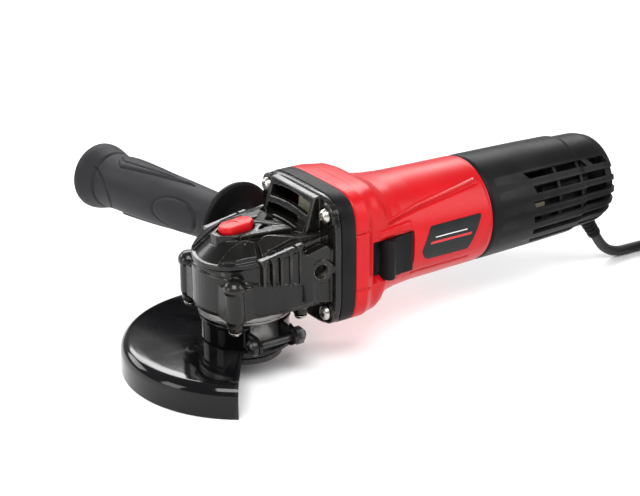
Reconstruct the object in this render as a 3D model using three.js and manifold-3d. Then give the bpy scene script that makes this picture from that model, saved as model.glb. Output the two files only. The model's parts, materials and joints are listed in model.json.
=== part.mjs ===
// A 115 mm class angle grinder as an assembly of named pieces, in millimetres, +Z up.
// The pieces are drawn around the point where the spindle axis crosses the motor axis:
// +X runs along the motor to the rear cap, +Y to the side handle, +Z away from the disc.
// The outer group lifts them so that Z is 0 at the end face of the spindle.

import * as THREE from "three";
import { mergeVertices } from "three/addons/utils/BufferGeometryUtils.js";
import Module from "manifold-3d";

const wasm = await Module();
wasm.setup();

// ---------------------------------------------------------------- driving dimensions

const GAP = 0.3;
const SIDES = { small: 8, medium: 12, large: 20, guard: 40 };

const SPINDLE = { end: -56, thread: 6.9, collar: 8.6, journal: 6, top: 12.5 };
const HEAD = { radius: 27.5, side: 29, bottom: -22, rimFront: 6, rimSlope: 0.17, top: 20, rear: 34.5 };
const FLANGE = { half: 37.3, power: 5, front: 34.5, back: 38, screwY: 28.8, screwZ: 27.9 };
const RING = { front: 38.3, back: 47 };
const COLUMN = { x: 20.3, y: 24, radius: 5.2 };
const COVER = { top: -22.3, bottom: -27, radius: 26, neck: 21.3, neckEnd: -41 };
const BODY = { front: 47.3, rear: 145, drop: -0.9, bore: 28.3 };
const CAP = { front: 145.4, rear: 243.5, wall: 2.7 };
const LOUVRE = { start: 177.5, width: 4.4, angles: [42, 25, 8, -9, -26, -43] };
const SWITCH = { front: 62.5, rear: 89.8, low: -16, high: 8, floor: -29.6 };
const LABEL = { front: 98, rear: 131, low: -11.4, high: 6.9, lean: 7.5, radius: 32.1, thick: 0.5 };

const GEAR = { ringTeeth: 24, pinionTeeth: 8, ringRadius: 19, inner: 0.8, thickness: 0.36 };
const LOCK = { x: -11.4, pin: 1.6, buttonX: -4.7, halfLength: 9.6, halfWidth: 5.6, low: 18.3, high: 22.8 };
const LOCK_FLOOR = 15.1;
const SPRING = { low: 8.6, high: 15, radius: 2.6, wire: 0.5, turns: 4 };

const GUARD = { radius: 68, sheet: 1.7, top: -42.2, rim: -60.2, facing: 145.7, edge: 4 };
const BAND = { inner: 21.7, outer: 24, top: -28.5, bottom: -41.7, low: -41, high: -31.2 };
const CLAMP = { y: -30, z: -36, ear: 10, radius: 2.4 };
const DISC_FLANGE = { radius: 20, top: -44.5, split: -48.6, nutTop: -49, bottom: -53.3 };

const HANDLE = { x: 27.3, y: 34.7, z: -0.8, forward: 0.16, droop: 0.04, bolt: 3.9, hole: 4.2 };
const GRIP = { core: 140, neck: 127, flare: 142.5, end: 150.4 };
const ARMATURE = { nose: 11.5, coreFront: 75, coreRear: 120, core: 13.6, rear: 176 };
const COMMUTATOR = { front: 146, rear: 160, radius: 11 };
const BRUSH = { x: 153, long: 10, tall: 6, from: 11.4, to: 21 };
const STATOR = { front: 72, rear: 122, outer: 25.7, bore: 14.3, slot: 21.6, pole: 50 };

const CORD = { diameter: 6.2, section: 8, steps: 14 };
const CORD_GUARD = { x: 235, z: -19, steep: 55, length: 26, root: 5, tip: 4.2 };
const COIL = { radius: 34.1, columns: 3, layers: 3, pitch: 6.3 };
const FLOOR = GUARD.rim;

// The lead from the strain relief down to the floor and along it to the coil.
const CORD_ROUTE = [
  [250.1, 0, -40.6],
  [252, 0, -43.3],
  [254.2, 0, -46.4],
  [258.6, 0, -51.3],
  [264.1, 0, -54.8],
  [270.4, 0, -56.7],
  [276.5, 0, -57.1],
  [284, -0.2, -57.1],
  [293, -0.8, -57.1],
  [302, -2, -57.1],
  [311, -4, -57.1],
  [319, -6.6, -57.1],
];
const COIL_ENTRY = { x: 319, y: -6.6, heading: -19 };
const PLUG_HEADING = -150;

// ---------------------------------------------------------------- materials

function finish(color, roughness, metalness) {
  return new THREE.MeshStandardMaterial({ color, roughness, metalness });
}

const RED_PLASTIC = finish(0xd8232b, 0.45, 0);
const BLACK_PLASTIC = finish(0x232324, 0.6, 0);
const BLACK_CASTING = finish(0x161617, 0.3, 0.2);
const BLACK_SHEET = finish(0x0d0d0e, 0.15, 0.2);
const RUBBER = finish(0x2f2e32, 0.8, 0);
const STEEL = finish(0xa9a9a6, 0.35, 1);
const DARK_STEEL = finish(0x4a4a4c, 0.4, 1);
const LAMINATION = finish(0x77777a, 0.5, 0.9);
const COPPER = finish(0xb5652d, 0.4, 0.9);
const BRASS = finish(0xb99a4a, 0.4, 0.9);
const CARBON = finish(0x1b1b1b, 0.8, 0);
const INNER_PLASTIC = finish(0x8d8c86, 0.6, 0);
const LABEL_FILM = finish(0x141b1a, 0.4, 0);

// ---------------------------------------------------------------- solids

const X_BASIS = [new THREE.Vector3(0, 1, 0), new THREE.Vector3(0, 0, 1), new THREE.Vector3(1, 0, 0)];
const Y_BASIS = [new THREE.Vector3(1, 0, 0), new THREE.Vector3(0, 0, 1), new THREE.Vector3(0, -1, 0)];
const Z_BASIS = [new THREE.Vector3(1, 0, 0), new THREE.Vector3(0, 1, 0), new THREE.Vector3(0, 0, 1)];
const UP = new THREE.Vector3(0, 1, 0);

const radians = THREE.MathUtils.degToRad;

// A closed geometry as a solid: vertices welded, empty triangles dropped, faces turned outward.
function solid(geometry) {
  const bare = geometry.index ? geometry.toNonIndexed() : geometry.clone();
  bare.deleteAttribute("normal");
  bare.deleteAttribute("uv");
  const welded = mergeVertices(bare, 1e-4);
  const points = new Float32Array(welded.attributes.position.array);
  const corners = [];
  let volume = 0;
  const corner = (i) => new THREE.Vector3().fromArray(points, 3 * i);
  for (let i = 0; i < welded.index.count; i += 3) {
    const [a, b, c] = [0, 1, 2].map((k) => welded.index.getX(i + k));
    if (a !== b && b !== c && c !== a) {
      corners.push(a, b, c);
      volume += corner(a).dot(corner(b).cross(corner(c)));
    }
  }
  if (volume < 0) corners.reverse();
  const triVerts = new Uint32Array(corners);
  return new wasm.Manifold(new wasm.Mesh({ numProp: 3, vertProperties: points, triVerts }));
}

function geometryOf(body) {
  const mesh = body.getMesh();
  const geometry = new THREE.BufferGeometry();
  geometry.setAttribute("position", new THREE.BufferAttribute(new Float32Array(mesh.vertProperties), 3));
  geometry.setIndex(new THREE.BufferAttribute(new Uint32Array(mesh.triVerts), 1));
  geometry.computeVertexNormals();
  return geometry;
}

function piece(name, body, material) {
  const mesh = new THREE.Mesh(geometryOf(body), material);
  mesh.name = name;
  return mesh;
}

function joined(bodies) {
  return bodies.reduce((whole, body) => whole.add(body));
}

function cut(body, tools) {
  return tools.reduce((rest, tool) => rest.subtract(tool), body);
}

function placed(geometry, basis, along) {
  geometry.translate(0, 0, along);
  geometry.applyMatrix4(new THREE.Matrix4().makeBasis(...basis));
  return geometry;
}

function box(x0, x1, y0, y1, z0, z1) {
  const geometry = new THREE.BoxGeometry(x1 - x0, y1 - y0, z1 - z0);
  geometry.translate((x0 + x1) / 2, (y0 + y1) / 2, (z0 + z1) / 2);
  return solid(geometry);
}

// An outline pushed along an axis. Its own x and y run along Y and Z for "x", X and Z for "y",
// X and Y for "z".
function prism(shape, axis, from, to) {
  const depth = to - from;
  const geometry = new THREE.ExtrudeGeometry(shape, { depth, bevelEnabled: false, curveSegments: 8 });
  if (axis === "x") return solid(placed(geometry, X_BASIS, from));
  if (axis === "y") return solid(placed(geometry, Y_BASIS, -to));
  return solid(placed(geometry, Z_BASIS, from));
}

function outline(points) {
  return new THREE.Shape(points.map(([x, y]) => new THREE.Vector2(x, y)));
}

function rectangle(x0, x1, y0, y1) {
  return outline([[x0, y0], [x1, y0], [x1, y1], [x0, y1]]);
}

// A profile of [radius, along] points turned around X or Z through [u, v].
function turned(axis, profile, sides, u = 0, v = 0) {
  const points = profile.map(([radius, along]) => new THREE.Vector2(radius, along));
  const geometry = new THREE.LatheGeometry(points, sides);
  if (axis === "x") {
    geometry.rotateZ(-Math.PI / 2);
    geometry.translate(0, u, v);
  } else if (axis === "z") {
    geometry.rotateX(Math.PI / 2);
    geometry.translate(u, v, 0);
  }
  return solid(geometry);
}

function rod(axis, radius, from, to, sides, u = 0, v = 0) {
  return turned(axis, [[0, from], [radius, from], [radius, to], [0, to]], sides, u, v);
}

function sleeve(axis, inner, outer, from, to, sides, u = 0, v = 0) {
  const profile = [[inner, from], [outer, from], [outer, to], [inner, to], [inner, from]];
  return turned(axis, profile, sides, u, v);
}

// A body along X through rounded-square stations [x, half width, half height, power, height].
function loft(stations, sides) {
  const rows = stations.length - 1;
  const geometry = new THREE.CylinderGeometry(1, 1, 1, sides, rows);
  const position = geometry.attributes.position;
  for (let i = 0; i < position.count; i += 1) {
    const row = Math.round((position.getY(i) + 0.5) * rows);
    const [x, halfY, halfZ, power, height] = stations[row];
    const [c, s] = [position.getX(i), position.getZ(i)];
    const sum = Math.abs(c / halfY) ** power + Math.abs(s / halfZ) ** power;
    const reach = c * c + s * s > 0.5 ? sum ** (-1 / power) : 0;
    position.setXYZ(i, x, c * reach, s * reach + height);
  }
  return solid(geometry);
}

// A flat arc-sided sector between two radii, its middle on the +y side of the outline.
function sector(inner, outer, halfAngle) {
  const [from, to] = [90 - halfAngle, 90 + halfAngle].map(radians);
  const shape = new THREE.Shape();
  shape.absarc(0, 0, outer, from, to, false);
  shape.absarc(0, 0, inner, to, from, true);
  return shape;
}

function roundedSquare(half, from, to, sides) {
  return loft([[from, half, half, FLANGE.power, 0], [to, half, half, FLANGE.power, 0]], sides);
}

// A round bar between two points.
function bar(radius, start, end, sides) {
  const [a, b] = [new THREE.Vector3(...start), new THREE.Vector3(...end)];
  const along = b.clone().sub(a);
  const geometry = new THREE.CylinderGeometry(radius, radius, along.length(), sides);
  const turn = new THREE.Quaternion().setFromUnitVectors(UP, along.clone().normalize());
  geometry.applyQuaternion(turn);
  geometry.translate(...a.add(b).multiplyScalar(0.5).toArray());
  return solid(geometry);
}

// ---------------------------------------------------------------- gear head

// The side handle's axis leans forward and down a little, and the near boss mirrors it.
function handleDirection(side) {
  return new THREE.Vector3(-HANDLE.forward, side, -HANDLE.droop).normalize();
}

function handlePoint(side, along) {
  const mouth = new THREE.Vector3(HANDLE.x, side * HANDLE.y, HANDLE.z);
  return mouth.addScaledVector(handleDirection(side), along).toArray();
}

function headFootprint() {
  const shape = new THREE.Shape();
  shape.moveTo(HEAD.rear, -HEAD.side);
  shape.lineTo(8, -HEAD.side);
  shape.absarc(0, 0, HEAD.radius, -Math.PI / 2, -1.5 * Math.PI, true);
  shape.lineTo(8, HEAD.side);
  shape.lineTo(HEAD.rear, HEAD.side);
  return shape;
}

// The footprint between a lower and an upper place for each of its points.
function headBlock(lower, upper) {
  const options = { depth: 1, bevelEnabled: false, curveSegments: 9 };
  const geometry = new THREE.ExtrudeGeometry(headFootprint(), options);
  const position = geometry.attributes.position;
  for (let i = 0; i < position.count; i += 1) {
    const [x, y] = [position.getX(i), position.getY(i)];
    const place = position.getZ(i) < 0.5 ? lower(x, y) : upper(x, y);
    position.setXYZ(i, ...place);
  }
  return solid(geometry);
}

function headShell() {
  const rim = (x) => HEAD.rimFront + HEAD.rimSlope * (x + HEAD.radius);
  const crown = (x, y) => [HEAD.rear - 0.83 * (HEAD.rear - x), 0.42 * y, HEAD.top];
  const walls = headBlock((x, y) => [x, y, HEAD.bottom], (x, y) => [x, y, rim(x)]);
  const roof = headBlock((x, y) => [x, y, rim(x) - 1], crown);
  return walls.add(roof);
}

function buttonOutline(grow) {
  const [long, wide] = [LOCK.halfLength + grow, LOCK.halfWidth + grow];
  const [slopeX, slopeY] = [long * 0.62, wide * 0.45];
  const half = [[long, -slopeY], [long, slopeY], [slopeX, wide], [-slopeX, wide]];
  const rest = [[-long, slopeY], [-long, -slopeY], [-slopeX, -wide], [slopeX, -wide]];
  return outline([...half, ...rest].map(([x, y]) => [x + LOCK.buttonX, y]));
}

function bossOutline() {
  return outline([[18.5, -17], [34.8, -20.5], [34.8, 9], [30.5, 13], [20.5, 10.5], [19, 7]]);
}

function handleBoss(side) {
  const faceY = HANDLE.y - 1.5;
  const block = side > 0 ? [27, faceY] : [-faceY, -27];
  return prism(bossOutline(), "y", ...block)
    .add(bar(8.5, handlePoint(side, -9), handlePoint(side, 0), SIDES.medium));
}

function ventHood() {
  const profile = outline([[34.8, 14], [26, 14], [26.5, 17], [32.3, 34.6], [34.8, 34.6]]);
  return prism(profile, "y", -21, 21);
}

function ventChannels() {
  const inside = outline([[40, 18.5], [29.6, 18.5], [34, 32], [40, 32]]);
  const channel = prism(inside, "y", -18, 18);
  const lower = box(20, 33, -17, 17, 19.5, 23.8);
  const upper = box(20, 36, -16, 16, 26.6, 31.2);
  return [channel, lower, upper];
}

function gearHousing() {
  const columns = [-1, 1].map((side) => turned("z", [
    [0, HEAD.bottom], [COLUMN.radius, HEAD.bottom], [COLUMN.radius, -2], [COLUMN.radius * 0.87, 0.6],
    [COLUMN.radius * 0.5, 2.4], [0, 3],
  ], 12, -COLUMN.x, side * COLUMN.y));
  const body = joined([
    headShell(),
    roundedSquare(FLANGE.half, FLANGE.front, FLANGE.back, SIDES.large),
    handleBoss(1),
    handleBoss(-1),
    ventHood(),
    prism(buttonOutline(2.2), "z", HEAD.top - 3, HEAD.top + 0.8),
    ...columns,
  ]);
  const tools = [
    rod("z", 22.5, HEAD.bottom - 1, -3, SIDES.large),
    rod("z", 7, -4, 5, SIDES.medium),
    rod("z", 7.8, 4.7, 13.6, SIDES.medium),
    rod("x", 9.5, 0, 22.5, SIDES.medium),
    rod("x", 13.3, 22.2, 39, SIDES.medium),
    rod("z", 2, -4, 9, SIDES.small, LOCK.x, 0),
    rod("z", 3.4, SPRING.low - GAP, 16, SIDES.small, LOCK.x, 0),
    prism(buttonOutline(0.4), "z", LOCK_FLOOR, HEAD.top + 2),
    bar(HANDLE.hole, handlePoint(1, -13), handlePoint(1, 1), SIDES.medium),
    bar(HANDLE.hole, handlePoint(-1, -13), handlePoint(-1, 1), SIDES.medium),
    ...ventChannels(),
  ];
  for (const [y, z] of flangeScrewPlaces()) tools.push(rod("x", 2.4, 33, 39, SIDES.small, y, z));
  for (const [x, y] of columnPlaces()) {
    tools.push(rod("z", 1.9, HEAD.bottom - 1, -8, SIDES.small, x, y));
  }
  return piece("gear_housing", cut(body, tools), BLACK_CASTING);
}

function flangeScrewPlaces() {
  const { screwY, screwZ } = FLANGE;
  return [[-screwY, screwZ], [screwY, screwZ], [-screwY, -screwZ], [screwY, -screwZ]];
}

function columnPlaces() {
  const { x, y } = COLUMN;
  return [[-x, -y], [-x, y], [x, -y], [x, y]];
}

function flangeRing() {
  const body = roundedSquare(FLANGE.half + 0.3, RING.front, RING.back, SIDES.large);
  const tools = [rod("x", 33, RING.front - 1, RING.back + 1, SIDES.large)];
  for (const [y, z] of flangeScrewPlaces()) tools.push(rod("x", 2.4, 37, 48, SIDES.small, y, z));
  return piece("flange_ring", cut(body, tools), BLACK_PLASTIC);
}

function headScrews() {
  return flangeScrewPlaces().map(([y, z], i) => {
    const head = FLANGE.front - GAP;
    const profile = [
      [0, head - 2.6], [2.6, head - 2.4], [4, head - 1.1], [4, head], [2, head], [2, 57], [0, 57],
    ];
    const slots = [
      box(head - 4, head - 1.4, y - 2.2, y + 2.2, z - 0.45, z + 0.45),
      box(head - 4, head - 1.4, y - 0.45, y + 0.45, z - 2.2, z + 2.2),
    ];
    const body = turned("x", profile, SIDES.small, y, z);
    return piece(`head_screw_${i + 1}`, cut(body, slots), STEEL);
  });
}

function bearingCover() {
  const plate = rod("z", COVER.radius, COVER.bottom, COVER.top, SIDES.large);
  const ears = columnPlaces().map(([x, y]) => {
    const spoke = rectangle(0, Math.hypot(x, y), -4, 4);
    const turn = THREE.MathUtils.radToDeg(Math.atan2(y, x));
    const web = prism(spoke, "z", COVER.bottom, COVER.top).rotate([0, 0, turn]);
    return web.add(rod("z", 5, COVER.bottom, COVER.top, 10, x, y));
  });
  const neck = rod("z", COVER.neck, COVER.neckEnd, COVER.bottom + 1, SIDES.large);
  const tools = [
    rod("z", 16.3, -36.9, COVER.top + 1, SIDES.large),
    rod("z", 9.2, COVER.neckEnd - 1, -36, SIDES.medium),
    ...columnPlaces().map(([x, y]) => rod("z", 1.9, -28, -22, SIDES.small, x, y)),
  ];
  return piece("bearing_cover", cut(joined([plate, neck, ...ears]), tools), STEEL);
}

function coverScrews() {
  const head = COVER.bottom - GAP;
  const profile = [[0, head - 2.3], [2.4, head - 2.1], [3.5, head - 1], [3.5, head], [1.6, head]];
  return columnPlaces().map(([x, y], i) => {
    const body = turned("z", [...profile, [1.6, -10], [0, -10]], SIDES.small, x, y);
    return piece(`cover_screw_${i + 1}`, body, STEEL);
  });
}

// ---------------------------------------------------------------- spindle and bevel gears

const GEAR_MODULE = (2 * GEAR.ringRadius) / GEAR.ringTeeth;
const PINION_RADIUS = (GEAR.ringRadius * GEAR.pinionTeeth) / GEAR.ringTeeth;

// A tapered tooth whose edges all run to the apex where the two axes cross. "out" points from the
// pitch circle to the tooth's tip, and "pitch" is the middle of the tooth on that circle.
function coneTooth(pitch, out, across, sunk) {
  const geometry = new THREE.BoxGeometry(1, 1, 1);
  const position = geometry.attributes.position;
  const root = (GEAR.thickness / 2) * Math.PI * GEAR_MODULE;
  for (let i = 0; i < position.count; i += 1) {
    const high = position.getX(i) > 0;
    const rise = high ? 0.9 * GEAR_MODULE : -sunk;
    const half = high ? root * 0.55 : root * 1.3;
    const width = position.getY(i) > 0 ? half : -half;
    const scale = position.getZ(i) > 0 ? 1 : GEAR.inner;
    const point = pitch.clone().addScaledVector(out, rise).addScaledVector(across, width);
    position.setXYZ(i, ...point.multiplyScalar(scale).toArray());
  }
  return geometry;
}

function ringGear() {
  const cone = new THREE.Vector3(GEAR.ringRadius, 0, -PINION_RADIUS);
  const out = new THREE.Vector3(PINION_RADIUS, 0, GEAR.ringRadius).normalize();
  const root = cone.clone().addScaledVector(out, -1.15 * GEAR_MODULE);
  const inner = root.clone().multiplyScalar(GEAR.inner);
  const body = turned("z", [
    [6.3, -6.6], [12.5, -6.6], [inner.x, inner.z], [root.x + 0.3, root.z], [17, -14], [10, -14],
    [10, -20.4], [6.3, -20.4], [6.3, -6.6],
  ], GEAR.ringTeeth);
  const teeth = [];
  for (let i = 0; i < GEAR.ringTeeth; i += 1) {
    const tooth = coneTooth(cone, out, new THREE.Vector3(0, 1, 0), 1.5 * GEAR_MODULE);
    teeth.push(solid(tooth.rotateZ((2 * Math.PI * i) / GEAR.ringTeeth)));
  }
  const holes = [0, 1, 2, 3, 4, 5].map((i) => {
    const angle = Math.PI + (i * Math.PI) / 3;
    const [x, y] = [-LOCK.x * Math.cos(angle), -LOCK.x * Math.sin(angle)];
    return rod("z", 2, -16, -5, 6, x, y);
  });
  return piece("ring_gear", cut(joined([body, ...teeth]), holes), DARK_STEEL);
}

function drivePinion() {
  const cone = new THREE.Vector3(GEAR.ringRadius, 0, PINION_RADIUS);
  const out = new THREE.Vector3(-PINION_RADIUS, 0, GEAR.ringRadius).normalize();
  const rootRadius = PINION_RADIUS - 1.15 * GEAR_MODULE;
  const front = GEAR.ringRadius * GEAR.inner;
  const body = turned("x", [
    [2.9, front], [rootRadius * GEAR.inner, front], [rootRadius, GEAR.ringRadius],
    [rootRadius, 21.6], [2.9, 21.6], [2.9, front],
  ], GEAR.pinionTeeth);
  const teeth = [];
  for (let i = 0; i < GEAR.pinionTeeth; i += 1) {
    const tooth = coneTooth(cone, out, new THREE.Vector3(0, 1, 0), 1.35 * GEAR_MODULE);
    teeth.push(solid(tooth.rotateX((2 * Math.PI * (i + 0.5)) / GEAR.pinionTeeth)));
  }
  return piece("drive_pinion", joined([body, ...teeth]), DARK_STEEL);
}

function spindle() {
  const { end, thread, collar, journal, top } = SPINDLE;
  const body = turned("z", [
    [0, end], [thread - 1, end], [thread, end + 1], [thread, -44.2], [collar, -44.2], [collar, -37.2],
    [journal, -37.2], [journal, top - 1], [journal - 1, top], [0, top],
  ], SIDES.medium);
  return piece("spindle", body, STEEL);
}

function spindleBearing() {
  return piece("spindle_bearing", sleeve("z", 6.3, 16, -36.6, -26.6, SIDES.medium), STEEL);
}

function spindleBush() {
  return piece("spindle_bush", sleeve("z", 6.3, 7.4, 5, 13.2, SIDES.medium), BRASS);
}

function innerFlange() {
  const { radius, top, split } = DISC_FLANGE;
  const profile = [
    [7.2, split], [radius, split], [radius, split + 2.6], [radius - 3, top], [7.2, top], [7.2, split],
  ];
  return piece("inner_flange", turned("z", profile, SIDES.large), DARK_STEEL);
}

function flangeNut() {
  const { radius, nutTop, bottom } = DISC_FLANGE;
  const profile = [
    [7.2, bottom], [radius - 1.5, bottom], [radius, bottom + 1.2], [radius, nutTop], [7.2, nutTop],
    [7.2, bottom],
  ];
  const holes = [0, 1, 2, 3].map((i) => {
    const angle = (i * Math.PI) / 2;
    return rod("z", 2.2, bottom - 1, bottom + 3, 6, 14.5 * Math.cos(angle), 14.5 * Math.sin(angle));
  });
  return piece("flange_nut", cut(turned("z", profile, SIDES.large), holes), DARK_STEEL);
}

// ---------------------------------------------------------------- spindle lock

function lockButton() {
  const options = {
    depth: LOCK.high - LOCK.low - 1, bevelSize: 0.9, bevelThickness: 1, bevelSegments: 1, bevelOffset: -0.9,
  };
  const geometry = new THREE.ExtrudeGeometry(buttonOutline(0), options);
  geometry.translate(0, 0, LOCK.low);
  const lower = box(-30, 30, -30, 30, LOCK.low - 3, LOCK.low);
  return piece("lock_button", solid(geometry).subtract(lower), RED_PLASTIC);
}

function lockPin() {
  const { pin, x, low } = LOCK;
  const profile = [
    [0, -5.4], [pin - 0.4, -5.4], [pin, -5], [pin, SPRING.high + GAP], [3, SPRING.high + GAP],
    [3, 16.4], [pin, 16.4], [pin, low - GAP], [0, low - GAP],
  ];
  return piece("lock_pin", turned("z", profile, SIDES.small, x, 0), STEEL);
}

class Helix extends THREE.Curve {
  getPoint(t, target = new THREE.Vector3()) {
    const angle = 2 * Math.PI * SPRING.turns * t;
    const rise = SPRING.high - SPRING.low - 2 * SPRING.wire;
    const z = SPRING.low + SPRING.wire + rise * t;
    return target.set(LOCK.x + SPRING.radius * Math.cos(angle), SPRING.radius * Math.sin(angle), z);
  }
}

function lockSpring() {
  const section = new THREE.Shape();
  section.absarc(0, 0, SPRING.wire * 0.9, 0, 2 * Math.PI, false);
  const geometry = new THREE.ExtrudeGeometry(section, {
    extrudePath: new Helix(), steps: 8 * SPRING.turns, curveSegments: 2, bevelEnabled: false,
  });
  return piece("lock_spring", solid(geometry), STEEL);
}

// ---------------------------------------------------------------- guard and its clamp

function halfSpace() {
  const geometry = new THREE.BoxGeometry(100, 200, 60);
  geometry.translate(50, 0, -50);
  geometry.rotateZ(radians(GUARD.facing));
  return solid(geometry);
}

function wheelGuard() {
  const { radius, sheet, top, rim, edge } = GUARD;
  const bore = BAND.inner + 0.1;
  const [low, inside] = [top - sheet, radius - sheet];
  const profile = [
    [bore, top], [radius - edge, top], [radius - 1.2, top - 1.2], [radius, top - edge],
    [radius, rim], [inside, rim], [inside, low - edge + 0.8], [inside - 2.8, low], [bore, low],
    [bore, top],
  ];
  const pan = turned("z", profile, SIDES.guard).intersect(halfSpace());
  const ring = sleeve("z", bore, 27, low, top, SIDES.guard);
  return piece("wheel_guard", pan.add(ring), BLACK_SHEET);
}

function guardCollar() {
  const { inner, outer, top, bottom, low, high } = BAND;
  const band = sleeve("z", inner, outer, bottom, top, 32);
  const opening = box(-CLAMP.ear, CLAMP.ear, -40, -10, bottom - 1, top + 1);
  const ears = [-1, 1].map((side) => {
    const [near, far] = [side * (CLAMP.ear + 2.2), side * CLAMP.ear].sort((a, b) => a - b);
    return box(near, far, CLAMP.y - 5, -20.5, low, high);
  });
  const clear = rod("z", inner, bottom - 1, top + 1, 32);
  const bolt = rod("x", CLAMP.radius + GAP, -20, 20, SIDES.small, CLAMP.y, CLAMP.z);
  return piece("guard_collar", cut(joined([band.subtract(opening), ...ears]), [clear, bolt]), BLACK_SHEET);
}

function clampScrew() {
  const face = CLAMP.ear + 2.2 + GAP;
  const head = turned("x", [
    [0, -face - 3.6], [3.8, -face - 3.4], [4.6, -face - 2.4], [4.6, -face], [CLAMP.radius, -face],
    [CLAMP.radius, face + 6.4], [0, face + 6.4],
  ], SIDES.small, CLAMP.y, CLAMP.z);
  const drive = box(-face - 5, -face - 1.8, CLAMP.y - 3, CLAMP.y + 3, CLAMP.z - 0.6, CLAMP.z + 0.6);
  return piece("clamp_screw", head.subtract(drive), DARK_STEEL);
}

function clampNut() {
  const face = CLAMP.ear + 2.2 + GAP;
  const nut = rod("x", 4.9, face, face + 4.2, 6, CLAMP.y, CLAMP.z);
  const bore = rod("x", CLAMP.radius + GAP, face - 1, face + 6, SIDES.small, CLAMP.y, CLAMP.z);
  return piece("clamp_nut", nut.subtract(bore), DARK_STEEL);
}

// ---------------------------------------------------------------- side handle

function turnedOnHandle(profile, sides) {
  return turned("y", profile, sides);
}

function handleBolt() {
  const { bolt } = HANDLE;
  const profile = [
    [0, -11], [bolt - 1, -11], [bolt, -10], [bolt, 2], [6.8, 2], [6.8, 5], [bolt, 5], [bolt, 32], [0, 32],
  ];
  return piece("handle_bolt", turnedOnHandle(profile, SIDES.medium), STEEL);
}

function handleCore() {
  const { core } = GRIP;
  const bore = HANDLE.bolt + GAP;
  const body = turnedOnHandle([
    [bore, 5.3], [9, 5.3], [10, 9], [10.4, 13.2], [23.8, 12.6], [25.3, 13.8], [25.3, 16], [24, 17.6],
    [11, 18], [9, 19.5], [9, core], [0, core], [0, 33], [bore, 33], [bore, 5.3],
  ], SIDES.large);
  return piece("handle_core", body, BLACK_PLASTIC);
}

function handleGrip() {
  const { core, neck, flare, end } = GRIP;
  const body = turnedOnHandle([
    [9.3, 20], [13, 18.6], [14.2, 42], [16, 82], [16.4, neck], [17.8, neck + 8], [20.6, flare],
    [20, flare + 3.6], [14, end - 1], [0, end], [0, core + GAP], [9.3, core + GAP], [9.3, 20],
  ], SIDES.large);
  return piece("handle_grip", body, RUBBER);
}

function sideHandle() {
  const group = new THREE.Group();
  group.position.set(HANDLE.x, HANDLE.y, HANDLE.z);
  group.quaternion.setFromUnitVectors(UP, handleDirection(1));
  group.add(handleBolt(), handleCore(), handleGrip());
  return group;
}

// ---------------------------------------------------------------- motor housing and rear cap

// The recess that the switch slides in, open to the side.
function switchPocket() {
  const { front, rear, floor, low, high } = SWITCH;
  return box(front, rear, -45, floor, low, high);
}

function motorHousing() {
  const { front, rear, drop, bore } = BODY;
  const shell = loft([
    [front, 37.5, 37.6, 5, 0], [61, 36.8, 37, 4.8, 0], [70, 34.4, 34.8, 3.7, -0.2],
    [82, 32.2, 32.4, 2.5, -0.7], [95, 31.6, 31.6, 2.1, drop], [rear, 31, 31, 2, drop],
  ], 32);
  const cavity = turned("x", [
    [0, front - 1], [33.8, front - 1], [33.8, 60], [bore, 84], [bore, rear + 1], [0, rear + 1],
  ], SIDES.large, 0, drop);
  const tower = joined([
    sleeve("x", 21.8, bore + 0.8, 139.5, rear, SIDES.large, 0, drop),
    sleeve("x", 21.8, 24.2, rear - 2, 175, SIDES.large, 0, 0),
    sleeve("x", 11.3, 23, 168, 176.5, SIDES.large, 0, 0),
  ]);
  const window = box(65, 80, -40, -25, -7.5, 3.5);
  const rodWay = box(138, 146, -28.4, -24.6, -5.2, 3.2);
  const brushWay = box(145.4, 160.6, -30, 30, -6.3, 6.3);
  const airWays = [0, 60, 120].map((turn) => {
    const geometry = new THREE.BoxGeometry(7, 60, 9);
    geometry.rotateX(radians(turn + 30));
    geometry.translate(171.6, 0, 0);
    return solid(geometry).subtract(rod("x", 15, 150, 180, SIDES.medium));
  });
  const screwHoles = flangeScrewPlaces().map(([y, z]) => rod("x", 2.3, front - 1, 58, SIDES.small, y, z));
  const hollow = cut(shell, [cavity]).add(tower);
  const body = cut(hollow, [window, switchPocket(), rodWay, brushWay, ...airWays, ...screwHoles]);
  return piece("motor_housing", body, RED_PLASTIC);
}

function switchSlider() {
  const { floor } = SWITCH;
  const plate = box(66.4, 89.4, floor - 2.1, floor - GAP, -15.6, 7.6);
  const ridge = outline([
    [66.8, floor - 1], [67.6, -36], [69.4, -37], [73.6, -37], [75.2, -35.6], [76, floor - 1],
  ]);
  const knob = prism(ridge, "z", -15.2, 7.2);
  const neck = box(70, 78.5, floor - 1, -27.8, -6.5, 2.5);
  return piece("switch_slider", joined([plate, knob, neck]), BLACK_PLASTIC);
}

function switchRod() {
  const front = box(71, 148, -27.5, -26.1, -4.4, 2.6);
  const rear = box(142, 186.2, -26.3, -25, -4.4, 2.6);
  return piece("switch_rod", front.add(rear), INNER_PLASTIC);
}

function labelPlate() {
  const { front, rear, low, high, lean, radius, thick } = LABEL;
  const shape = outline([[front - lean / 2, low], [rear - lean / 2, low], [rear + lean / 2, high],
    [front + lean / 2, high]]);
  const patch = prism(shape, "y", -40, -20);
  const skin = sleeve("x", radius, radius + thick, 80, 145, 48, 0, BODY.drop);
  return piece("label_plate", patch.intersect(skin), LABEL_FILM);
}

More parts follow.
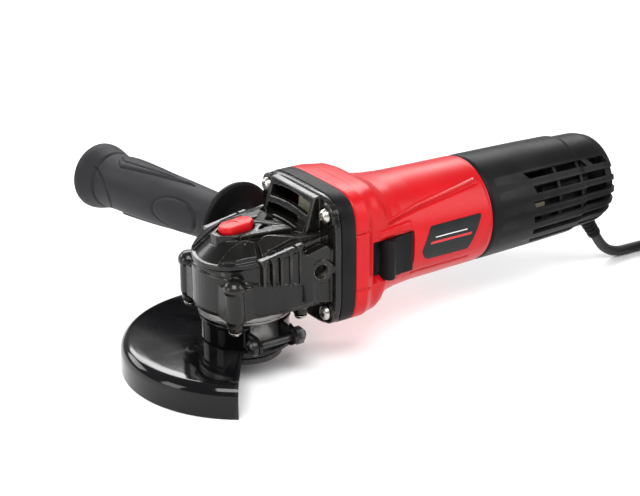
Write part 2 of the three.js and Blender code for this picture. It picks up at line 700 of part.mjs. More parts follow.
function rearCap() {
  const { front, rear, wall } = CAP;
  const outer = turned("x", [
    [0, front], [31, front], [29.4, 216], [28.2, 217.2], [27.6, 235], [25, 241], [20, rear], [0, rear],
  ], 32, 0, BODY.drop);
  const inner = turned("x", [
    [0, front - 1], [31 - wall, front - 1], [29.2 - wall, 214], [27 - wall, 232], [20, rear - 3.5],
    [0, rear - 3.5],
  ], SIDES.large, 0, BODY.drop);
  const slots = [];
  for (const side of [-1, 1]) {
    for (const angle of LOUVRE.angles) {
      const geometry = new THREE.BoxGeometry(80, 16, LOUVRE.width);
      geometry.translate(LOUVRE.start + 40, 29, 0);
      geometry.rotateX(radians(side > 0 ? angle : 180 - angle));
      geometry.translate(0, 0, BODY.drop);
      slots.push(solid(geometry));
    }
  }
  const cordHole = bar(5.4, cordGuardPoint(-6), cordGuardPoint(20), SIDES.medium);
  const screwHole = rod("z", 2, -34, -26, SIDES.small, 152, 0);
  const screwSeat = rod("z", 4.4, -34, -30, SIDES.small, 152, 0);
  const body = cut(outer, [inner, ...slots, cordHole, screwHole, screwSeat]);
  return piece("rear_cap", body, BLACK_PLASTIC);
}

function capScrew() {
  const profile = [[0, -31.9], [3.4, -31.5], [3.8, -30.4], [1.6, -30.4], [1.6, -25.4], [0, -25.4]];
  return piece("cap_screw", turned("z", profile, SIDES.small, 152, 0), DARK_STEEL);
}

function powerSwitch() {
  const body = box(186.6, 221, -23.2, -8, -11.4, 9.6);
  const studs = [192, 214].map((x) => box(x, x + 4, -12, -6, -13.4, -11));
  return piece("power_switch", joined([body, ...studs]), BLACK_PLASTIC);
}

// ---------------------------------------------------------------- motor

function armatureShaft() {
  const { nose, rear } = ARMATURE;
  const profile = [
    [0, nose], [2.1, nose], [2.6, nose + 0.5], [2.6, 22], [4.9, 22], [4.9, 66], [6, 66],
    [6, 164], [3.9, 164], [3.9, rear], [0, rear],
  ];
  return piece("armature_shaft", turned("x", profile, SIDES.medium), STEEL);
}

function armatureCore() {
  const { coreFront, coreRear, core } = ARMATURE;
  const stack = sleeve("x", 6.3, core, coreFront, coreRear, SIDES.large);
  const windings = [
    sleeve("x", 6.3, 11.5, coreFront - 7, coreFront + 1, SIDES.medium),
    sleeve("x", 6.3, 11.5, coreRear - 1, coreRear + 9, SIDES.medium),
  ];
  const slots = [];
  for (let i = 0; i < 6; i += 1) {
    const geometry = new THREE.BoxGeometry(60, 3, 1.4);
    geometry.translate((coreFront + coreRear) / 2, core, 0);
    slots.push(solid(geometry.rotateX((i * Math.PI) / 3)));
  }
  return piece("armature_core", cut(stack, slots).add(joined(windings)), LAMINATION);
}

function commutator() {
  const { front, rear, radius } = COMMUTATOR;
  const slots = [];
  for (let i = 0; i < 6; i += 1) {
    const geometry = new THREE.BoxGeometry(30, 1.6, 0.6);
    geometry.translate((front + rear) / 2, radius, 0);
    slots.push(solid(geometry.rotateX((i * Math.PI) / 3)));
  }
  const body = sleeve("x", 6.3, radius, front, rear, SIDES.medium)
    .add(sleeve("x", 6.3, radius - 1.8, front - 4, rear + 2, SIDES.medium));
  return piece("commutator", cut(body, slots), COPPER);
}

function coolingFan() {
  const disc = sleeve("x", 5.2, 30, 58.6, 60.2, SIDES.large);
  const hub = sleeve("x", 5.2, 9, 50.6, 60.2, SIDES.medium);
  const blades = [];
  for (let i = 0; i < 8; i += 1) {
    const geometry = new THREE.BoxGeometry(8.4, 18, 1.2);
    geometry.rotateX(0.35);
    geometry.translate(54.6, 20, 0);
    blades.push(solid(geometry.rotateX((i * Math.PI) / 4)));
  }
  return piece("cooling_fan", joined([disc, hub, ...blades]), BLACK_PLASTIC);
}

function fanBaffle() {
  const ring = sleeve("x", 20, 31.8, 62.6, 64.6, SIDES.large, 0, BODY.drop);
  return piece("fan_baffle", ring.subtract(switchPocket()), INNER_PLASTIC);
}

function frontBearing() {
  return piece("front_bearing", sleeve("x", 5.2, 13, 22.8, 30.8, SIDES.medium), STEEL);
}

function rearBearing() {
  return piece("rear_bearing", sleeve("x", 4.2, 11, 168.6, 175.6, SIDES.medium), STEEL);
}

// Two poles above and below the armature, with room for a coil at each side of both.
function statorCore() {
  const { front, rear, outer, bore, slot, pole } = STATOR;
  const yoke = sleeve("x", slot, outer, front, rear, SIDES.large);
  const pieces = [1, -1].map((side) => {
    const shape = sector(bore, slot + 1, pole);
    const body = prism(shape, "x", front, rear);
    return side > 0 ? body : body.rotate([180, 0, 0]);
  });
  return piece("stator_core", joined([yoke, ...pieces]), LAMINATION);
}

function fieldCoil(name, side) {
  const { front, rear, bore, slot, pole } = STATOR;
  const ring = prism(sector(bore + 0.4, slot - GAP, 87), "x", front - 6, rear + 6);
  const window = prism(sector(bore - 1, slot + 1, pole + 1), "x", front - GAP, rear + GAP);
  const coil = ring.subtract(window);
  return piece(name, side > 0 ? coil : coil.rotate([180, 0, 0]), COPPER);
}

function brushHolder(name, side) {
  const { x, long, tall, from, to } = BRUSH;
  const block = (grow, low, high) => {
    const [y0, y1] = [side * low, side * high].sort((a, b) => a - b);
    return box(x - long / 2 - grow, x + long / 2 + grow, y0, y1, -tall / 2 - grow, tall / 2 + grow);
  };
  const shell = block(1.6, from + 2, to + 3.4);
  const way = block(GAP, from, to + 2);
  return piece(name, shell.subtract(way), BRASS);
}

function carbonBrush(name, side) {
  const { x, long, tall, from, to } = BRUSH;
  const [low, high] = [side * from, side * to].sort((a, b) => a - b);
  const body = box(x - long / 2, x + long / 2, low, high, -tall / 2, tall / 2);
  return piece(name, body, CARBON);
}

// ---------------------------------------------------------------- lead and plug

function cordGuardPoint(along) {
  const { x, z, steep } = CORD_GUARD;
  return [x + along * Math.cos(radians(steep)), 0, z - along * Math.sin(radians(steep))];
}

function cordGuard() {
  const { x, z, steep, length, root, tip } = CORD_GUARD;
  const bore = CORD.diameter / 2 - 2;
  const profile = [
    [bore, -4], [7, -4], [7, -1.5], [root, -1.5], [root, 6], [root - 0.7, 6.6], [root - 0.7, 8.4],
    [root - 0.1, 9], [root - 0.1, 12], [root - 0.8, 12.6], [root - 0.8, 14.4], [root - 0.3, 15],
    [root - 0.3, 18], [tip - 0.4, 18.6], [tip, length], [bore, length], [bore, -4],
  ];
  const points = profile.map(([radius, along]) => new THREE.Vector2(radius, along));
  const geometry = new THREE.LatheGeometry(points, 10);
  geometry.rotateZ(-Math.PI / 2);
  geometry.rotateY(radians(steep));
  geometry.translate(x, 0, z);
  return piece("cord_guard", solid(geometry), BLACK_PLASTIC);
}

function cordClamp() {
  const strap = box(217, 225, -11, 11, -18.5, -16.2);
  const screws = [-8, 8].map((y) => rod("z", 2.2, -16.5, -14.8, 10, 221, y));
  return piece("cord_clamp", joined([strap, ...screws]), INNER_PLASTIC);
}

function mainsCord() {
  const path = new THREE.CatmullRomCurve3(CORD_ROUTE.map((point) => new THREE.Vector3(...point)));
  const section = new THREE.Shape();
  for (let i = 0; i < CORD.section; i += 1) {
    const angle = (2 * Math.PI * i) / CORD.section;
    const [x, y] = [Math.cos(angle), Math.sin(angle)].map((t) => (t * CORD.diameter) / 2);
    if (i === 0) section.moveTo(x, y);
    else section.lineTo(x, y);
  }
  const geometry = new THREE.ExtrudeGeometry(section, {
    extrudePath: path, steps: CORD.steps, bevelEnabled: false,
  });
  return piece("mains_cord", solid(geometry), BLACK_PLASTIC);
}

// The coil turns clockwise seen from above, and the lead comes in beside it.
function coilCentre() {
  const reach = COIL.radius + (COIL.columns * COIL.pitch) / 2 + CORD.diameter / 2 + GAP;
  const heading = radians(COIL_ENTRY.heading);
  return [COIL_ENTRY.x + reach * Math.sin(heading), COIL_ENTRY.y - reach * Math.cos(heading)];
}

function cordCoil() {
  const half = (COIL.columns * COIL.pitch) / 2;
  const high = FLOOR + COIL.layers * COIL.pitch;
  const [inner, outer] = [COIL.radius - half, COIL.radius + half];
  const profile = [
    [inner, FLOOR + 2], [inner + 2, FLOOR], [outer - 2, FLOOR], [outer, FLOOR + 2], [outer, high - 2],
    [outer - 2, high], [inner + 2, high], [inner, high - 2], [inner, FLOOR + 2],
  ];
  return piece("cord_coil", turned("z", profile, SIDES.large, ...coilCentre()), BLACK_PLASTIC);
}

// The plug lies flat beside the coil, on the line of the turn that it leaves.
function mainsPlug() {
  const halfBody = 12;
  const grip = new THREE.Shape();
  grip.moveTo(24.5, -3.8);
  grip.lineTo(52, -6);
  grip.lineTo(60, -17);
  grip.lineTo(88, -18.3);
  grip.lineTo(88, 18.3);
  grip.lineTo(60, 17);
  grip.lineTo(52, 6);
  grip.lineTo(24.5, 3.8);
  const body = prism(grip, "z", -halfBody, halfBody);
  const ends = rod("x", 12, 20, 96, 20);
  const rear = turned("x", [[0, 24], [4, 24], [6.5, 52], [18, 62], [30, 88], [0, 88]], 20);
  const pins = [-9.5, 9.5].map((y) => rod("x", 2.4, 87, 107, SIDES.small, y, 0));
  const plug = body.intersect(rear).add(ends.intersect(box(60, 88, -14, 14, -12, 12)));
  const [x, y] = coilCentre();
  const angle = radians(PLUG_HEADING);
  const turn = COIL.radius + COIL.pitch;
  const start = [x - turn * Math.sin(angle), y + turn * Math.cos(angle)];
  const whole = joined([plug, ...pins]).rotate([0, 0, PLUG_HEADING]);
  return piece("mains_plug", whole.translate([...start, FLOOR + halfBody]), BLACK_PLASTIC);
}

// ---------------------------------------------------------------- assembly

const grinder = new THREE.Group();
grinder.position.z = -SPINDLE.end;
grinder.add(
  gearHousing(),
  flangeRing(),
  ...headScrews(),
  bearingCover(),
  ...coverScrews(),
  spindle(),
  ringGear(),
  spindleBearing(),
  spindleBush(),
  innerFlange(),
  flangeNut(),
  lockButton(),
  lockPin(),
  lockSpring(),
  wheelGuard(),
  guardCollar(),
  clampScrew(),
  clampNut(),
  sideHandle(),
  motorHousing(),
  rearCap(),
  capScrew(),
  switchSlider(),
  switchRod(),
  powerSwitch(),
  labelPlate(),
  armatureShaft(),
  armatureCore(),
  commutator(),
  coolingFan(),
  drivePinion(),
  fanBaffle(),
  frontBearing(),
  rearBearing(),
  statorCore(),
  fieldCoil("field_coil_1", 1),
  fieldCoil("field_coil_2", -1),
  brushHolder("brush_holder_1", -1),
  brushHolder("brush_holder_2", 1),
  carbonBrush("carbon_brush_1", -1),
  carbonBrush("carbon_brush_2", 1),
  cordGuard(),
  cordClamp(),
  mainsCord(),
  cordCoil(),
  mainsPlug(),
);

const group = new THREE.Group();
group.add(grinder);

export default group;
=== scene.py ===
"""An angle grinder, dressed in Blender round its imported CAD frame.

Shapes are written in millimetres around the point where the spindle axis crosses the motor axis:
+X to the rear cap, +Y to the side handle, +Z up. place() takes them to the row frame, in metres.
"""

import json
import math

import bmesh
import bpy
import numpy as np
from mathutils import Matrix, Vector


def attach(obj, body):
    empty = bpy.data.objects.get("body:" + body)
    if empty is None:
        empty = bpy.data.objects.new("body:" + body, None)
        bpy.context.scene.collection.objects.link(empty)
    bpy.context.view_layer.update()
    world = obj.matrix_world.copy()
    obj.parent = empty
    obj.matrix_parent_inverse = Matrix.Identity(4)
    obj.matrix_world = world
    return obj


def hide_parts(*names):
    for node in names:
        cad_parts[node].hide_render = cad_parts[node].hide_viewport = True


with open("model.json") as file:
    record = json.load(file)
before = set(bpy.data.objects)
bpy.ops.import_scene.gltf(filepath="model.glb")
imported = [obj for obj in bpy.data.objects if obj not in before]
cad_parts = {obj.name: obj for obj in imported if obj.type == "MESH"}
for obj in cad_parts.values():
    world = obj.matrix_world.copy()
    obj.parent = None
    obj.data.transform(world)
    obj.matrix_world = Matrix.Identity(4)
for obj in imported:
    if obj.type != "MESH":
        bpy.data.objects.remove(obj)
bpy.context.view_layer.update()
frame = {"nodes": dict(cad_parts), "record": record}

MM = 0.001
AXIS_HEIGHT = 56.0  # the motor axis above the end of the spindle
FLOOR = -60.2  # the guard's lower edge, which the tool stands on


def place(point):
    x, y, z = point
    return Vector((x * MM, y * MM, (z + AXIS_HEIGHT) * MM))


def ease(t):
    """0 to 1 for t from 0 to 1, level at both ends."""
    return t * t * (3 - 2 * t)


def link(name, data):
    thing = bpy.data.objects.new(name, data)
    bpy.context.scene.collection.objects.link(thing)
    return thing


# ---------------- camera, floor and light

VIEW = {"azimuth": -33.18, "elevation": 22.53, "roll": -0.22, "distance": 1003.5, "lens": 100.85}
VIEW_TARGET = (57.45, 13.5, -10.53)
LIGHT_TARGET = (0.08, 0, 0.04)
LIGHTS = {
    # metres from the scene's origin, size in metres, watts
    "key": ((-0.35, -0.5, 0.95), (0.7, 0.5), 13),
    "side": ((0.75, -0.65, 0.55), (0.5, 0.7), 5),
    "back": ((0.58, 1.02, 0.82), (1.5, 0.34), 16),
    "rim": ((-0.45, 0.9, 0.45), (0.5, 0.3), 3),
    "left": ((-1.0, 0.15, 0.35), (0.35, 0.6), 4),
}


def make_camera():
    azimuth, elevation = math.radians(VIEW["azimuth"]), math.radians(VIEW["elevation"])
    back = Vector((
        math.sin(azimuth) * math.cos(elevation),
        -math.cos(azimuth) * math.cos(elevation),
        math.sin(elevation),
    ))
    data = bpy.data.cameras.new("camera")
    data.lens = VIEW["lens"]
    data.sensor_width = 36
    data.clip_end = 20
    camera = link("camera", data)
    turn = back.to_track_quat("Z", "Y").to_matrix().to_4x4()
    roll = Matrix.Rotation(math.radians(VIEW["roll"]), 4, "Z")
    where = place(VIEW_TARGET) + back * VIEW["distance"] * MM
    camera.matrix_world = Matrix.Translation(where) @ turn @ roll
    bpy.context.scene.camera = camera


def area_light(name, where, size, power):
    data = bpy.data.lights.new(name, "AREA")
    data.shape = "RECTANGLE"
    data.size, data.size_y = size
    data.energy = power
    turn = (Vector(LIGHT_TARGET) - Vector(where)).to_track_quat("-Z", "Y").to_matrix().to_4x4()
    link(name, data).matrix_world = Matrix.Translation(where) @ turn


def set_sockets(node, values):
    for socket, number in values.items():
        node.inputs[socket].default_value = number


def studio():
    world = bpy.data.worlds.new("studio")
    bpy.context.scene.world = world
    world.use_nodes = True
    set_sockets(world.node_tree.nodes["Background"], {"Color": (0.93, 0.94, 0.96, 1), "Strength": 0.33})
    bpy.context.scene.view_settings.view_transform = "Standard"
    for name, (where, size, power) in LIGHTS.items():
        area_light(name, where, size, power)


def make_floor():
    size = 6.0
    height = (FLOOR + AXIS_HEIGHT) * MM
    corners = [(-size, -size), (size, -size), (size, size), (-size, size)]
    mesh = bpy.data.meshes.new("floor")
    mesh.from_pydata([(x, y, height) for x, y in corners], [], [(0, 1, 2, 3)])
    material = bpy.data.materials.new("floor")
    material.use_nodes = True
    shader = material.node_tree.nodes["Principled BSDF"]
    set_sockets(shader, {"Base Color": (0.93, 0.93, 0.93, 1), "Roughness": 0.7})
    mesh.materials.append(material)
    link("floor", mesh)


make_camera()


def ramp(tree, source, low, high, out_low, out_high):
    node = tree.nodes.new("ShaderNodeMapRange")
    set_sockets(node, {"From Min": low, "From Max": high, "To Min": out_low, "To Max": out_high})
    tree.links.new(source, node.inputs["Value"])
    return node.outputs["Result"]


def noise(tree, coordinates, scale, detail):
    node = tree.nodes.new("ShaderNodeTexNoise")
    set_sockets(node, {"Scale": scale, "Detail": detail})
    tree.links.new(coordinates, node.inputs["Vector"])
    return node.outputs["Fac"]


def mix(tree, factor, first, second):
    node = tree.nodes.new("ShaderNodeMix")
    node.data_type = "RGBA"
    tree.links.new(factor, node.inputs["Factor"])
    for socket, value in ((node.inputs["A"], first), (node.inputs["B"], second)):
        if isinstance(value, tuple):
            socket.default_value = (*value, 1)
        else:
            tree.links.new(value, socket)
    return node.outputs["Result"]


def surface(
    name, light, dark, roughness, spread=0.08, metallic=0.0, coat=0.0, specular=0.5, grain=900,
    bump=0.06, mottle=60, wear=None, wear_amount=0.5, wear_span=(0.53, 0.62), grooves=None,
):
    """A moulded, painted or metal surface: two tones mixed by a broad noise, a fine grain in the bump and the
    roughness, edges lightened partly as wear and partly as painted highlight, and grooves (axis, lines per
    metre, depth)."""
    material = bpy.data.materials.new(name)
    material.use_nodes = True
    tree = material.node_tree
    shader = tree.nodes["Principled BSDF"]
    set_sockets(shader, {
        "Metallic": metallic, "Coat Weight": coat, "Coat Roughness": 0.06, "Specular IOR Level": specular,
    })
    coordinates = tree.nodes.new("ShaderNodeTexCoord").outputs["Object"]
    broad = noise(tree, coordinates, mottle, 4)
    fine = noise(tree, coordinates, grain, 2)
    color = mix(tree, ramp(tree, broad, 0.35, 0.65, 0, 1), dark, light)
    # Edges found by pointiness get a lighter colour: partly wear, partly a painted highlight standing in for
    # the shine along edges.
    if wear:
        edge = tree.nodes.new("ShaderNodeNewGeometry").outputs["Pointiness"]
        wear_and_highlight_mask = tree.nodes.new("ShaderNodeMath")
        wear_and_highlight_mask.operation = "MULTIPLY"
        tree.links.new(ramp(tree, edge, *wear_span, 0, wear_amount), wear_and_highlight_mask.inputs[0])
        tree.links.new(ramp(tree, broad, 0.4, 0.6, 0.2, 1), wear_and_highlight_mask.inputs[1])
        color = mix(tree, wear_and_highlight_mask.outputs[0], color, wear)
    tree.links.new(color, shader.inputs["Base Color"])
    rough = ramp(tree, broad, 0.3, 0.7, roughness - spread / 2, roughness + spread / 2)
    tree.links.new(rough, shader.inputs["Roughness"])
    height, strength = fine, bump
    if grooves:
        axis, lines, strength = grooves
        wave = tree.nodes.new("ShaderNodeTexWave")
        wave.bands_direction = axis
        set_sockets(wave, {"Scale": lines / 20, "Distortion": 0.4})
        tree.links.new(coordinates, wave.inputs["Vector"])
        height = wave.outputs["Fac"]
    relief = tree.nodes.new("ShaderNodeBump")
    set_sockets(relief, {"Strength": strength, "Distance": 0.0006})
    tree.links.new(height, relief.inputs["Height"])
    tree.links.new(relief.outputs["Normal"], shader.inputs["Normal"])
    return material


# The lighter edge colours, amounts and spans below are partly wear and partly painted highlight along edges.
LOOKS = {
    # light tone, dark tone and roughness, then what differs from surface()'s defaults
    "red_plastic": ((0.52, 0.005, 0.009), (0.47, 0.004, 0.007), 0.34, {
        "specular": 0.22, "grain": 1500, "bump": 0.05, "mottle": 35, "wear": (0.8, 0.05, 0.05),
        "wear_amount": 0.3}),
    "black_plastic": ((0.0085, 0.0085, 0.009), (0.0055, 0.0055, 0.006), 0.42, {
        "grain": 2400, "bump": 0.12, "mottle": 45, "specular": 0.1, "wear": (0.03, 0.03, 0.03)}),
    "painted_casting": ((0.0075, 0.0068, 0.006), (0.004, 0.0038, 0.0036), 0.25, {
        "spread": 0.12, "coat": 0.2, "specular": 0.2, "grain": 700, "bump": 0.07, "mottle": 70,
        "wear": (0.09, 0.082, 0.072), "wear_amount": 0.65, "wear_span": (0.508, 0.56)}),
    "guard_paint": ((0.004, 0.004, 0.0045), (0.0025, 0.0025, 0.003), 0.09, {
        "spread": 0.05, "coat": 0.2, "specular": 0.16, "grain": 260, "bump": 0.012, "mottle": 30,
        "wear": (0.03, 0.03, 0.03), "wear_amount": 0.4}),
    "grip_rubber": ((0.013, 0.0125, 0.015), (0.009, 0.009, 0.011), 0.55, {
        "spread": 0.12, "specular": 0.2, "grain": 2600, "bump": 0.16, "mottle": 40}),
    "bright_steel": ((0.62, 0.6, 0.57), (0.42, 0.4, 0.37), 0.28, {
        "spread": 0.2, "metallic": 1, "grain": 1400, "bump": 0.05, "mottle": 220,
        "wear": (0.85, 0.83, 0.8)}),
    "cast_alloy": ((0.3, 0.29, 0.28), (0.2, 0.195, 0.19), 0.36, {
        "spread": 0.16, "metallic": 0.9, "grain": 800, "bump": 0.08, "mottle": 160}),
    "dark_steel": ((0.05, 0.048, 0.046), (0.025, 0.025, 0.026), 0.33, {
        "spread": 0.16, "metallic": 0.85, "grain": 1100, "mottle": 200, "wear": (0.3, 0.29, 0.27)}),
    "lamination": ((0.2, 0.2, 0.21), (0.12, 0.12, 0.13), 0.45, {
        "metallic": 0.9, "grooves": ("X", 2000, 0.5)}),
    "copper": ((0.5, 0.2, 0.07), (0.33, 0.12, 0.04), 0.35, {
        "metallic": 0.9, "mottle": 300, "grooves": ("Z", 1400, 0.5)}),
    "brass": ((0.6, 0.45, 0.18), (0.45, 0.32, 0.12), 0.33, {
        "spread": 0.16, "metallic": 1, "mottle": 250}),
    "carbon": ((0.018, 0.018, 0.019), (0.01, 0.01, 0.01), 0.7, {"grain": 1800, "bump": 0.2}),
    "inner_plastic": ((0.24, 0.23, 0.16), (0.18, 0.17, 0.12), 0.5, {"grain": 1500, "bump": 0.1}),
    "cord_sheath": ((0.016, 0.016, 0.017), (0.010, 0.010, 0.011), 0.52, {
        "grain": 1600, "bump": 0.15, "mottle": 90}),
    "label_film": ((0.009, 0.012, 0.012), (0.006, 0.008, 0.008), 0.3, {
        "specular": 0.25, "grain": 2000, "bump": 0.04}),
    "badge_red": ((0.6, 0.012, 0.02), (0.5, 0.01, 0.015), 0.35, {"grain": 2000, "bump": 0.04}),
    "badge_pale": ((0.8, 0.8, 0.8), (0.7, 0.7, 0.7), 0.35, {"grain": 2000, "bump": 0.04}),
}
MATERIALS = {name: surface(name, *tones, **rest) for name, (*tones, rest) in LOOKS.items()}
SLOT_OF = {part["node"]: part["material_slot"] for part in frame["record"]["subparts"]}

# ---------------- mesh tools


def solid(points, faces):
    """A closed mesh from points in the tool's millimetres, its faces turned outward."""
    mesh = bpy.data.meshes.new("part")
    mesh.from_pydata([place(p) for p in points], [], faces)
    work = bmesh.new()
    work.from_mesh(mesh)
    bmesh.ops.remove_doubles(work, verts=work.verts, dist=1e-6)
    bmesh.ops.recalc_face_normals(work, faces=work.faces)
    work.to_mesh(mesh)
    work.free()
    return link("part", mesh)


def apply_modifiers(thing):
    graph = bpy.context.evaluated_depsgraph_get()
    mesh = bpy.data.meshes.new_from_object(thing.evaluated_get(graph))
    thing.modifiers.clear()
    thing.data = mesh
    return thing


def boolean(base, tools, operation):
    for tool in tools:
        change = base.modifiers.new("boolean", "BOOLEAN")
        change.operation = operation
        change.solver = "MANIFOLD"
        change.object = tool
        apply_modifiers(base)
        bpy.data.objects.remove(tool)
    return base


def join(base, *others):
    return boolean(base, others, "UNION")


def cut(base, *tools):
    return boolean(base, tools, "DIFFERENCE")


def soften(thing, width, segments=3, angle=40):
    bevel = thing.modifiers.new("bevel", "BEVEL")
    bevel.width = width * MM
    bevel.segments = segments
    bevel.angle_limit = math.radians(angle)
    return apply_modifiers(thing)


def melt(thing, grain, passes, keep):
    """Casts the shape afresh: every inside corner gets a fillet and every edge a small round."""
    remesh = thing.modifiers.new("remesh", "REMESH")
    remesh.mode = "VOXEL"
    remesh.voxel_size = grain * MM
    smooth = thing.modifiers.new("smooth", "SMOOTH")
    smooth.factor = 0.5
    smooth.iterations = passes
    thing.modifiers.new("decimate", "DECIMATE").ratio = keep
    return apply_modifiers(thing)


def finish(thing, name, body, slot, stands_for=(), sharp=40, look=None):
    """Names a piece, shades it, gives it the material of its look or else of its slot, ties it to its body
    and hides the nodes it stands for.
    """
    thing.name = name
    thing.data.name = name
    thing.data.materials.clear()
    thing.data.materials.append(MATERIALS[look or slot])
    for polygon in thing.data.polygons:
        polygon.use_smooth = True
    thing.data.set_sharp_from_angle(angle=math.radians(sharp))
    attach(thing, body)
    if stands_for:
        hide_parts(*stands_for)
    return thing


def value(level, u, v):
    return level(u, v) if callable(level) else level


def prism(outline, axis, low, high):
    """An outline of (y, z), (x, z) or (x, y) points pushed along x, y or z between two levels, each
    a number or a function of the outline's point."""
    place_of = {"x": 0, "y": 1, "z": 2}[axis]
    rows = []
    for level in (low, high):
        row = [[u, v] for u, v in outline]
        for point in row:
            point.insert(place_of, value(level, *point))
        rows.append(row)
    return grid_solid(rows)


def box(x0, x1, y0, y1, z0, z1):
    return prism([(x0, y0), (x1, y0), (x1, y1), (x0, y1)], "z", z0, z1)


def axis_frame(origin, direction, up=(0, 0, 1)):
    """A matrix whose Z runs along direction from origin, and whose X is as near to up as it can be."""
    z = Vector(direction).normalized()
    x = Vector(up) - z * z.dot(Vector(up))
    if x.length < 1e-6:
        x = Vector((1, 0, 0)) - z * z.x
    x.normalize()
    y = z.cross(x)
    return Matrix.Translation(origin) @ Matrix((x, y, z)).transposed().to_4x4()


ALONG_X = axis_frame((0, 0, 0), (1, 0, 0))
ALONG_Z = Matrix.Identity(4)


def rounded(profile, radius, steps=4):
    """The corners of a line of points rounded off, its ends kept."""
    points = [Vector(p) for p in profile]
    line = [points[0]]
    for before, corner, after in zip(points, points[1:], points[2:]):
        into, out = corner - before, after - corner
        if into.length < 1e-6 or out.length < 1e-6:
            continue
        reach = min(radius, into.length * 0.48, out.length * 0.48)
        start, end = corner - into.normalized() * reach, corner + out.normalized() * reach
        for i in range(steps + 1):
            t = i / steps
            line.append(start * (1 - t) ** 2 + corner * (2 * t * (1 - t)) + end * t * t)
    line.append(points[-1])
    return [(p.x, p.y) for p in line]


def rounded_loop(profile, radius, steps=4):
    """A closed line with its corners rounded off, all but the first."""
    return rounded([*profile, profile[0]], radius, steps)[:-1]


def lathe(profile, matrix=ALONG_Z, steps=96, begin=0.0, end=360.0, closed=True):
    """A profile of (radius, along) points turned round the matrix's Z axis."""
    whole = end - begin >= 360
    rings, count = steps if whole else steps + 1, len(profile)
    edges = [(j, (j + 1) % count) for j in range(count if closed else count - 1)]
    points, faces = [], []
    for i in range(rings):
        angle = math.radians(begin + (end - begin) * i / steps)
        c, s = math.cos(angle), math.sin(angle)
        points += [matrix @ Vector((r * c, r * s, along)) for r, along in profile]
    for i in range(steps):
        first, second = i * count, (i + 1) % rings * count
        faces += [(first + j, first + k, second + k, second + j) for j, k in edges]
    if not whole:
        faces += [tuple(range(count)), tuple(range(steps * count, (steps + 1) * count))[::-1]]
    return solid(points, faces)


def turn(profile, matrix=ALONG_Z, steps=96):
    """An open profile that starts and ends on the axis, turned into a solid."""
    return lathe(profile, matrix, steps, closed=False)


def rod(radius, low, high, matrix=ALONG_Z, steps=48, edge=0.0):
    profile = [(0.0, low), (radius, low), (radius, high), (0.0, high)]
    return turn(rounded(profile, edge) if edge else profile, matrix, steps)


def sleeve(inner, outer, low, high, matrix=ALONG_Z, steps=96):
    return lathe([(inner, low), (outer, low), (outer, high), (inner, high)], matrix, steps)


def at(x, y, z, direction=(0, 0, 1)):
    return axis_frame((x, y, z), direction)


def bar(radius, start, end):
    along = Vector(end) - Vector(start)
    return rod(radius, 0, along.length, axis_frame(start, along), 40)


def thread(root, crest, low, pitch, turns, rise):
    """The saw-toothed stretch of a profile."""
    starts = [low + pitch * i for i in range(turns)]
    return [point for along in starts for point in ((root, along), (crest, along + rise))]


def superellipse(power, steps):
    """A ring of points between a circle (power 2) and a square, one unit from the middle."""
    ring = []
    for i in range(steps):
        angle = 2 * math.pi * i / steps
        c, s = math.cos(angle), math.sin(angle)
        reach = (abs(c) ** power + abs(s) ** power) ** (-1 / power)
        ring.append((c * reach, s * reach))
    return ring


def grid_solid(rows, close_ends=True):
    """A skin over rings of points, all rings alike in number, as one closed body."""
    count, size = len(rows), len(rows[0])
    faces = []
    for i in range(count - 1):
        for j in range(size):
            k = (j + 1) % size
            faces.append((i * size + j, i * size + k, (i + 1) * size + k, (i + 1) * size + j))
    if close_ends:
        faces += [tuple(range(size))[::-1], tuple(range((count - 1) * size, count * size))]
    return solid([p for row in rows for p in row], faces)


# ---------------- gear head

HEAD = {"radius": 27.5, "side": 29, "bottom": -22, "rear": 34.5}
COLUMN = {"x": 20.3, "y": 24, "radius": 5.2}
LOCK_PIN_X = -11.4
SCREW_Y, SCREW_Z, SCREW_HOLE = 28.8, 27.9, 2.4
HANDLE = {"x": 27.3, "y": 34.7, "z": -0.8, "forward": 0.16, "droop": 0.04}
BUTTON = {"x": -4.7, "long": 9.6, "wide": 5.6, "low": 18.3, "high": 23.2}


def rim_height(x, y=0):
    return 6 + 0.17 * (x + HEAD["radius"])


def slope_height(x, y):
    """The head's roof on either side of its crown."""
    return 26.75 + 0.17 * x - 0.5536 * abs(y)


def roof_height(x, y):
    """The lowest of the crown, which sinks in front of the vents, the side slopes and the front cone."""
    crown = float(np.interp(x, [-20, 6, 20, 28], [16, 16.8, 15.4, 15]))
    heights = [crown, 23.46 + 0.17 * x - 0.44 * abs(y)]
    reach = math.hypot(x, y)
    if x < 0 and reach > 1:
        forward = -x / reach
        rim = rim_height(-HEAD["radius"] * forward)
        heights.append(rim + (0.46 + 0.4 * forward) * (HEAD["radius"] - reach))
    return min(heights)


def divided(outline, spacing):
    """The closed outline with points along its straight edges too."""
    line = []
    for (x0, y0), (x1, y1) in zip(outline, [*outline[1:], outline[0]]):
        count = max(1, round(math.hypot(x1 - x0, y1 - y0) / spacing))
        line += [(x0 + (x1 - x0) * i / count, y0 + (y1 - y0) * i / count) for i in range(count)]
    return line


def dome(outline, low, height, spacing=1.1, rings=14):
    """A solid over an outline whose top follows a height all over, not only at its corners."""
    line = divided(outline, spacing)
    cx, cy = (sum(p[i] for p in outline) / len(outline) for i in (0, 1))
    rows = [[(x, y, low) for x, y in line]]
    for i in range(rings + 1):
        t = 1 - i / (rings + 0.4)
        row = [(cx + (x - cx) * t, cy + (y - cy) * t) for x, y in line]
        rows.append([(x, y, height(x, y)) for x, y in row])
    return grid_solid(rows)


def footprint(grow=0.0, rear=HEAD["rear"]):
    radius, side, steps = HEAD["radius"] + grow, HEAD["side"] + grow, 28
    angles = [-math.pi / 2 - math.pi * i / steps for i in range(steps + 1)]
    nose = [(radius * math.cos(angle), radius * math.sin(angle)) for angle in angles]
    return [(rear, -side), (8, -side), *nose, (8, side), (rear, side)]


def mirrored(outline, side):
    return [(x, side * y) for x, y in outline]


def span(side, inner, outer):
    """Two levels in order, on the side that side's sign says."""
    return sorted((side * inner, side * outer))


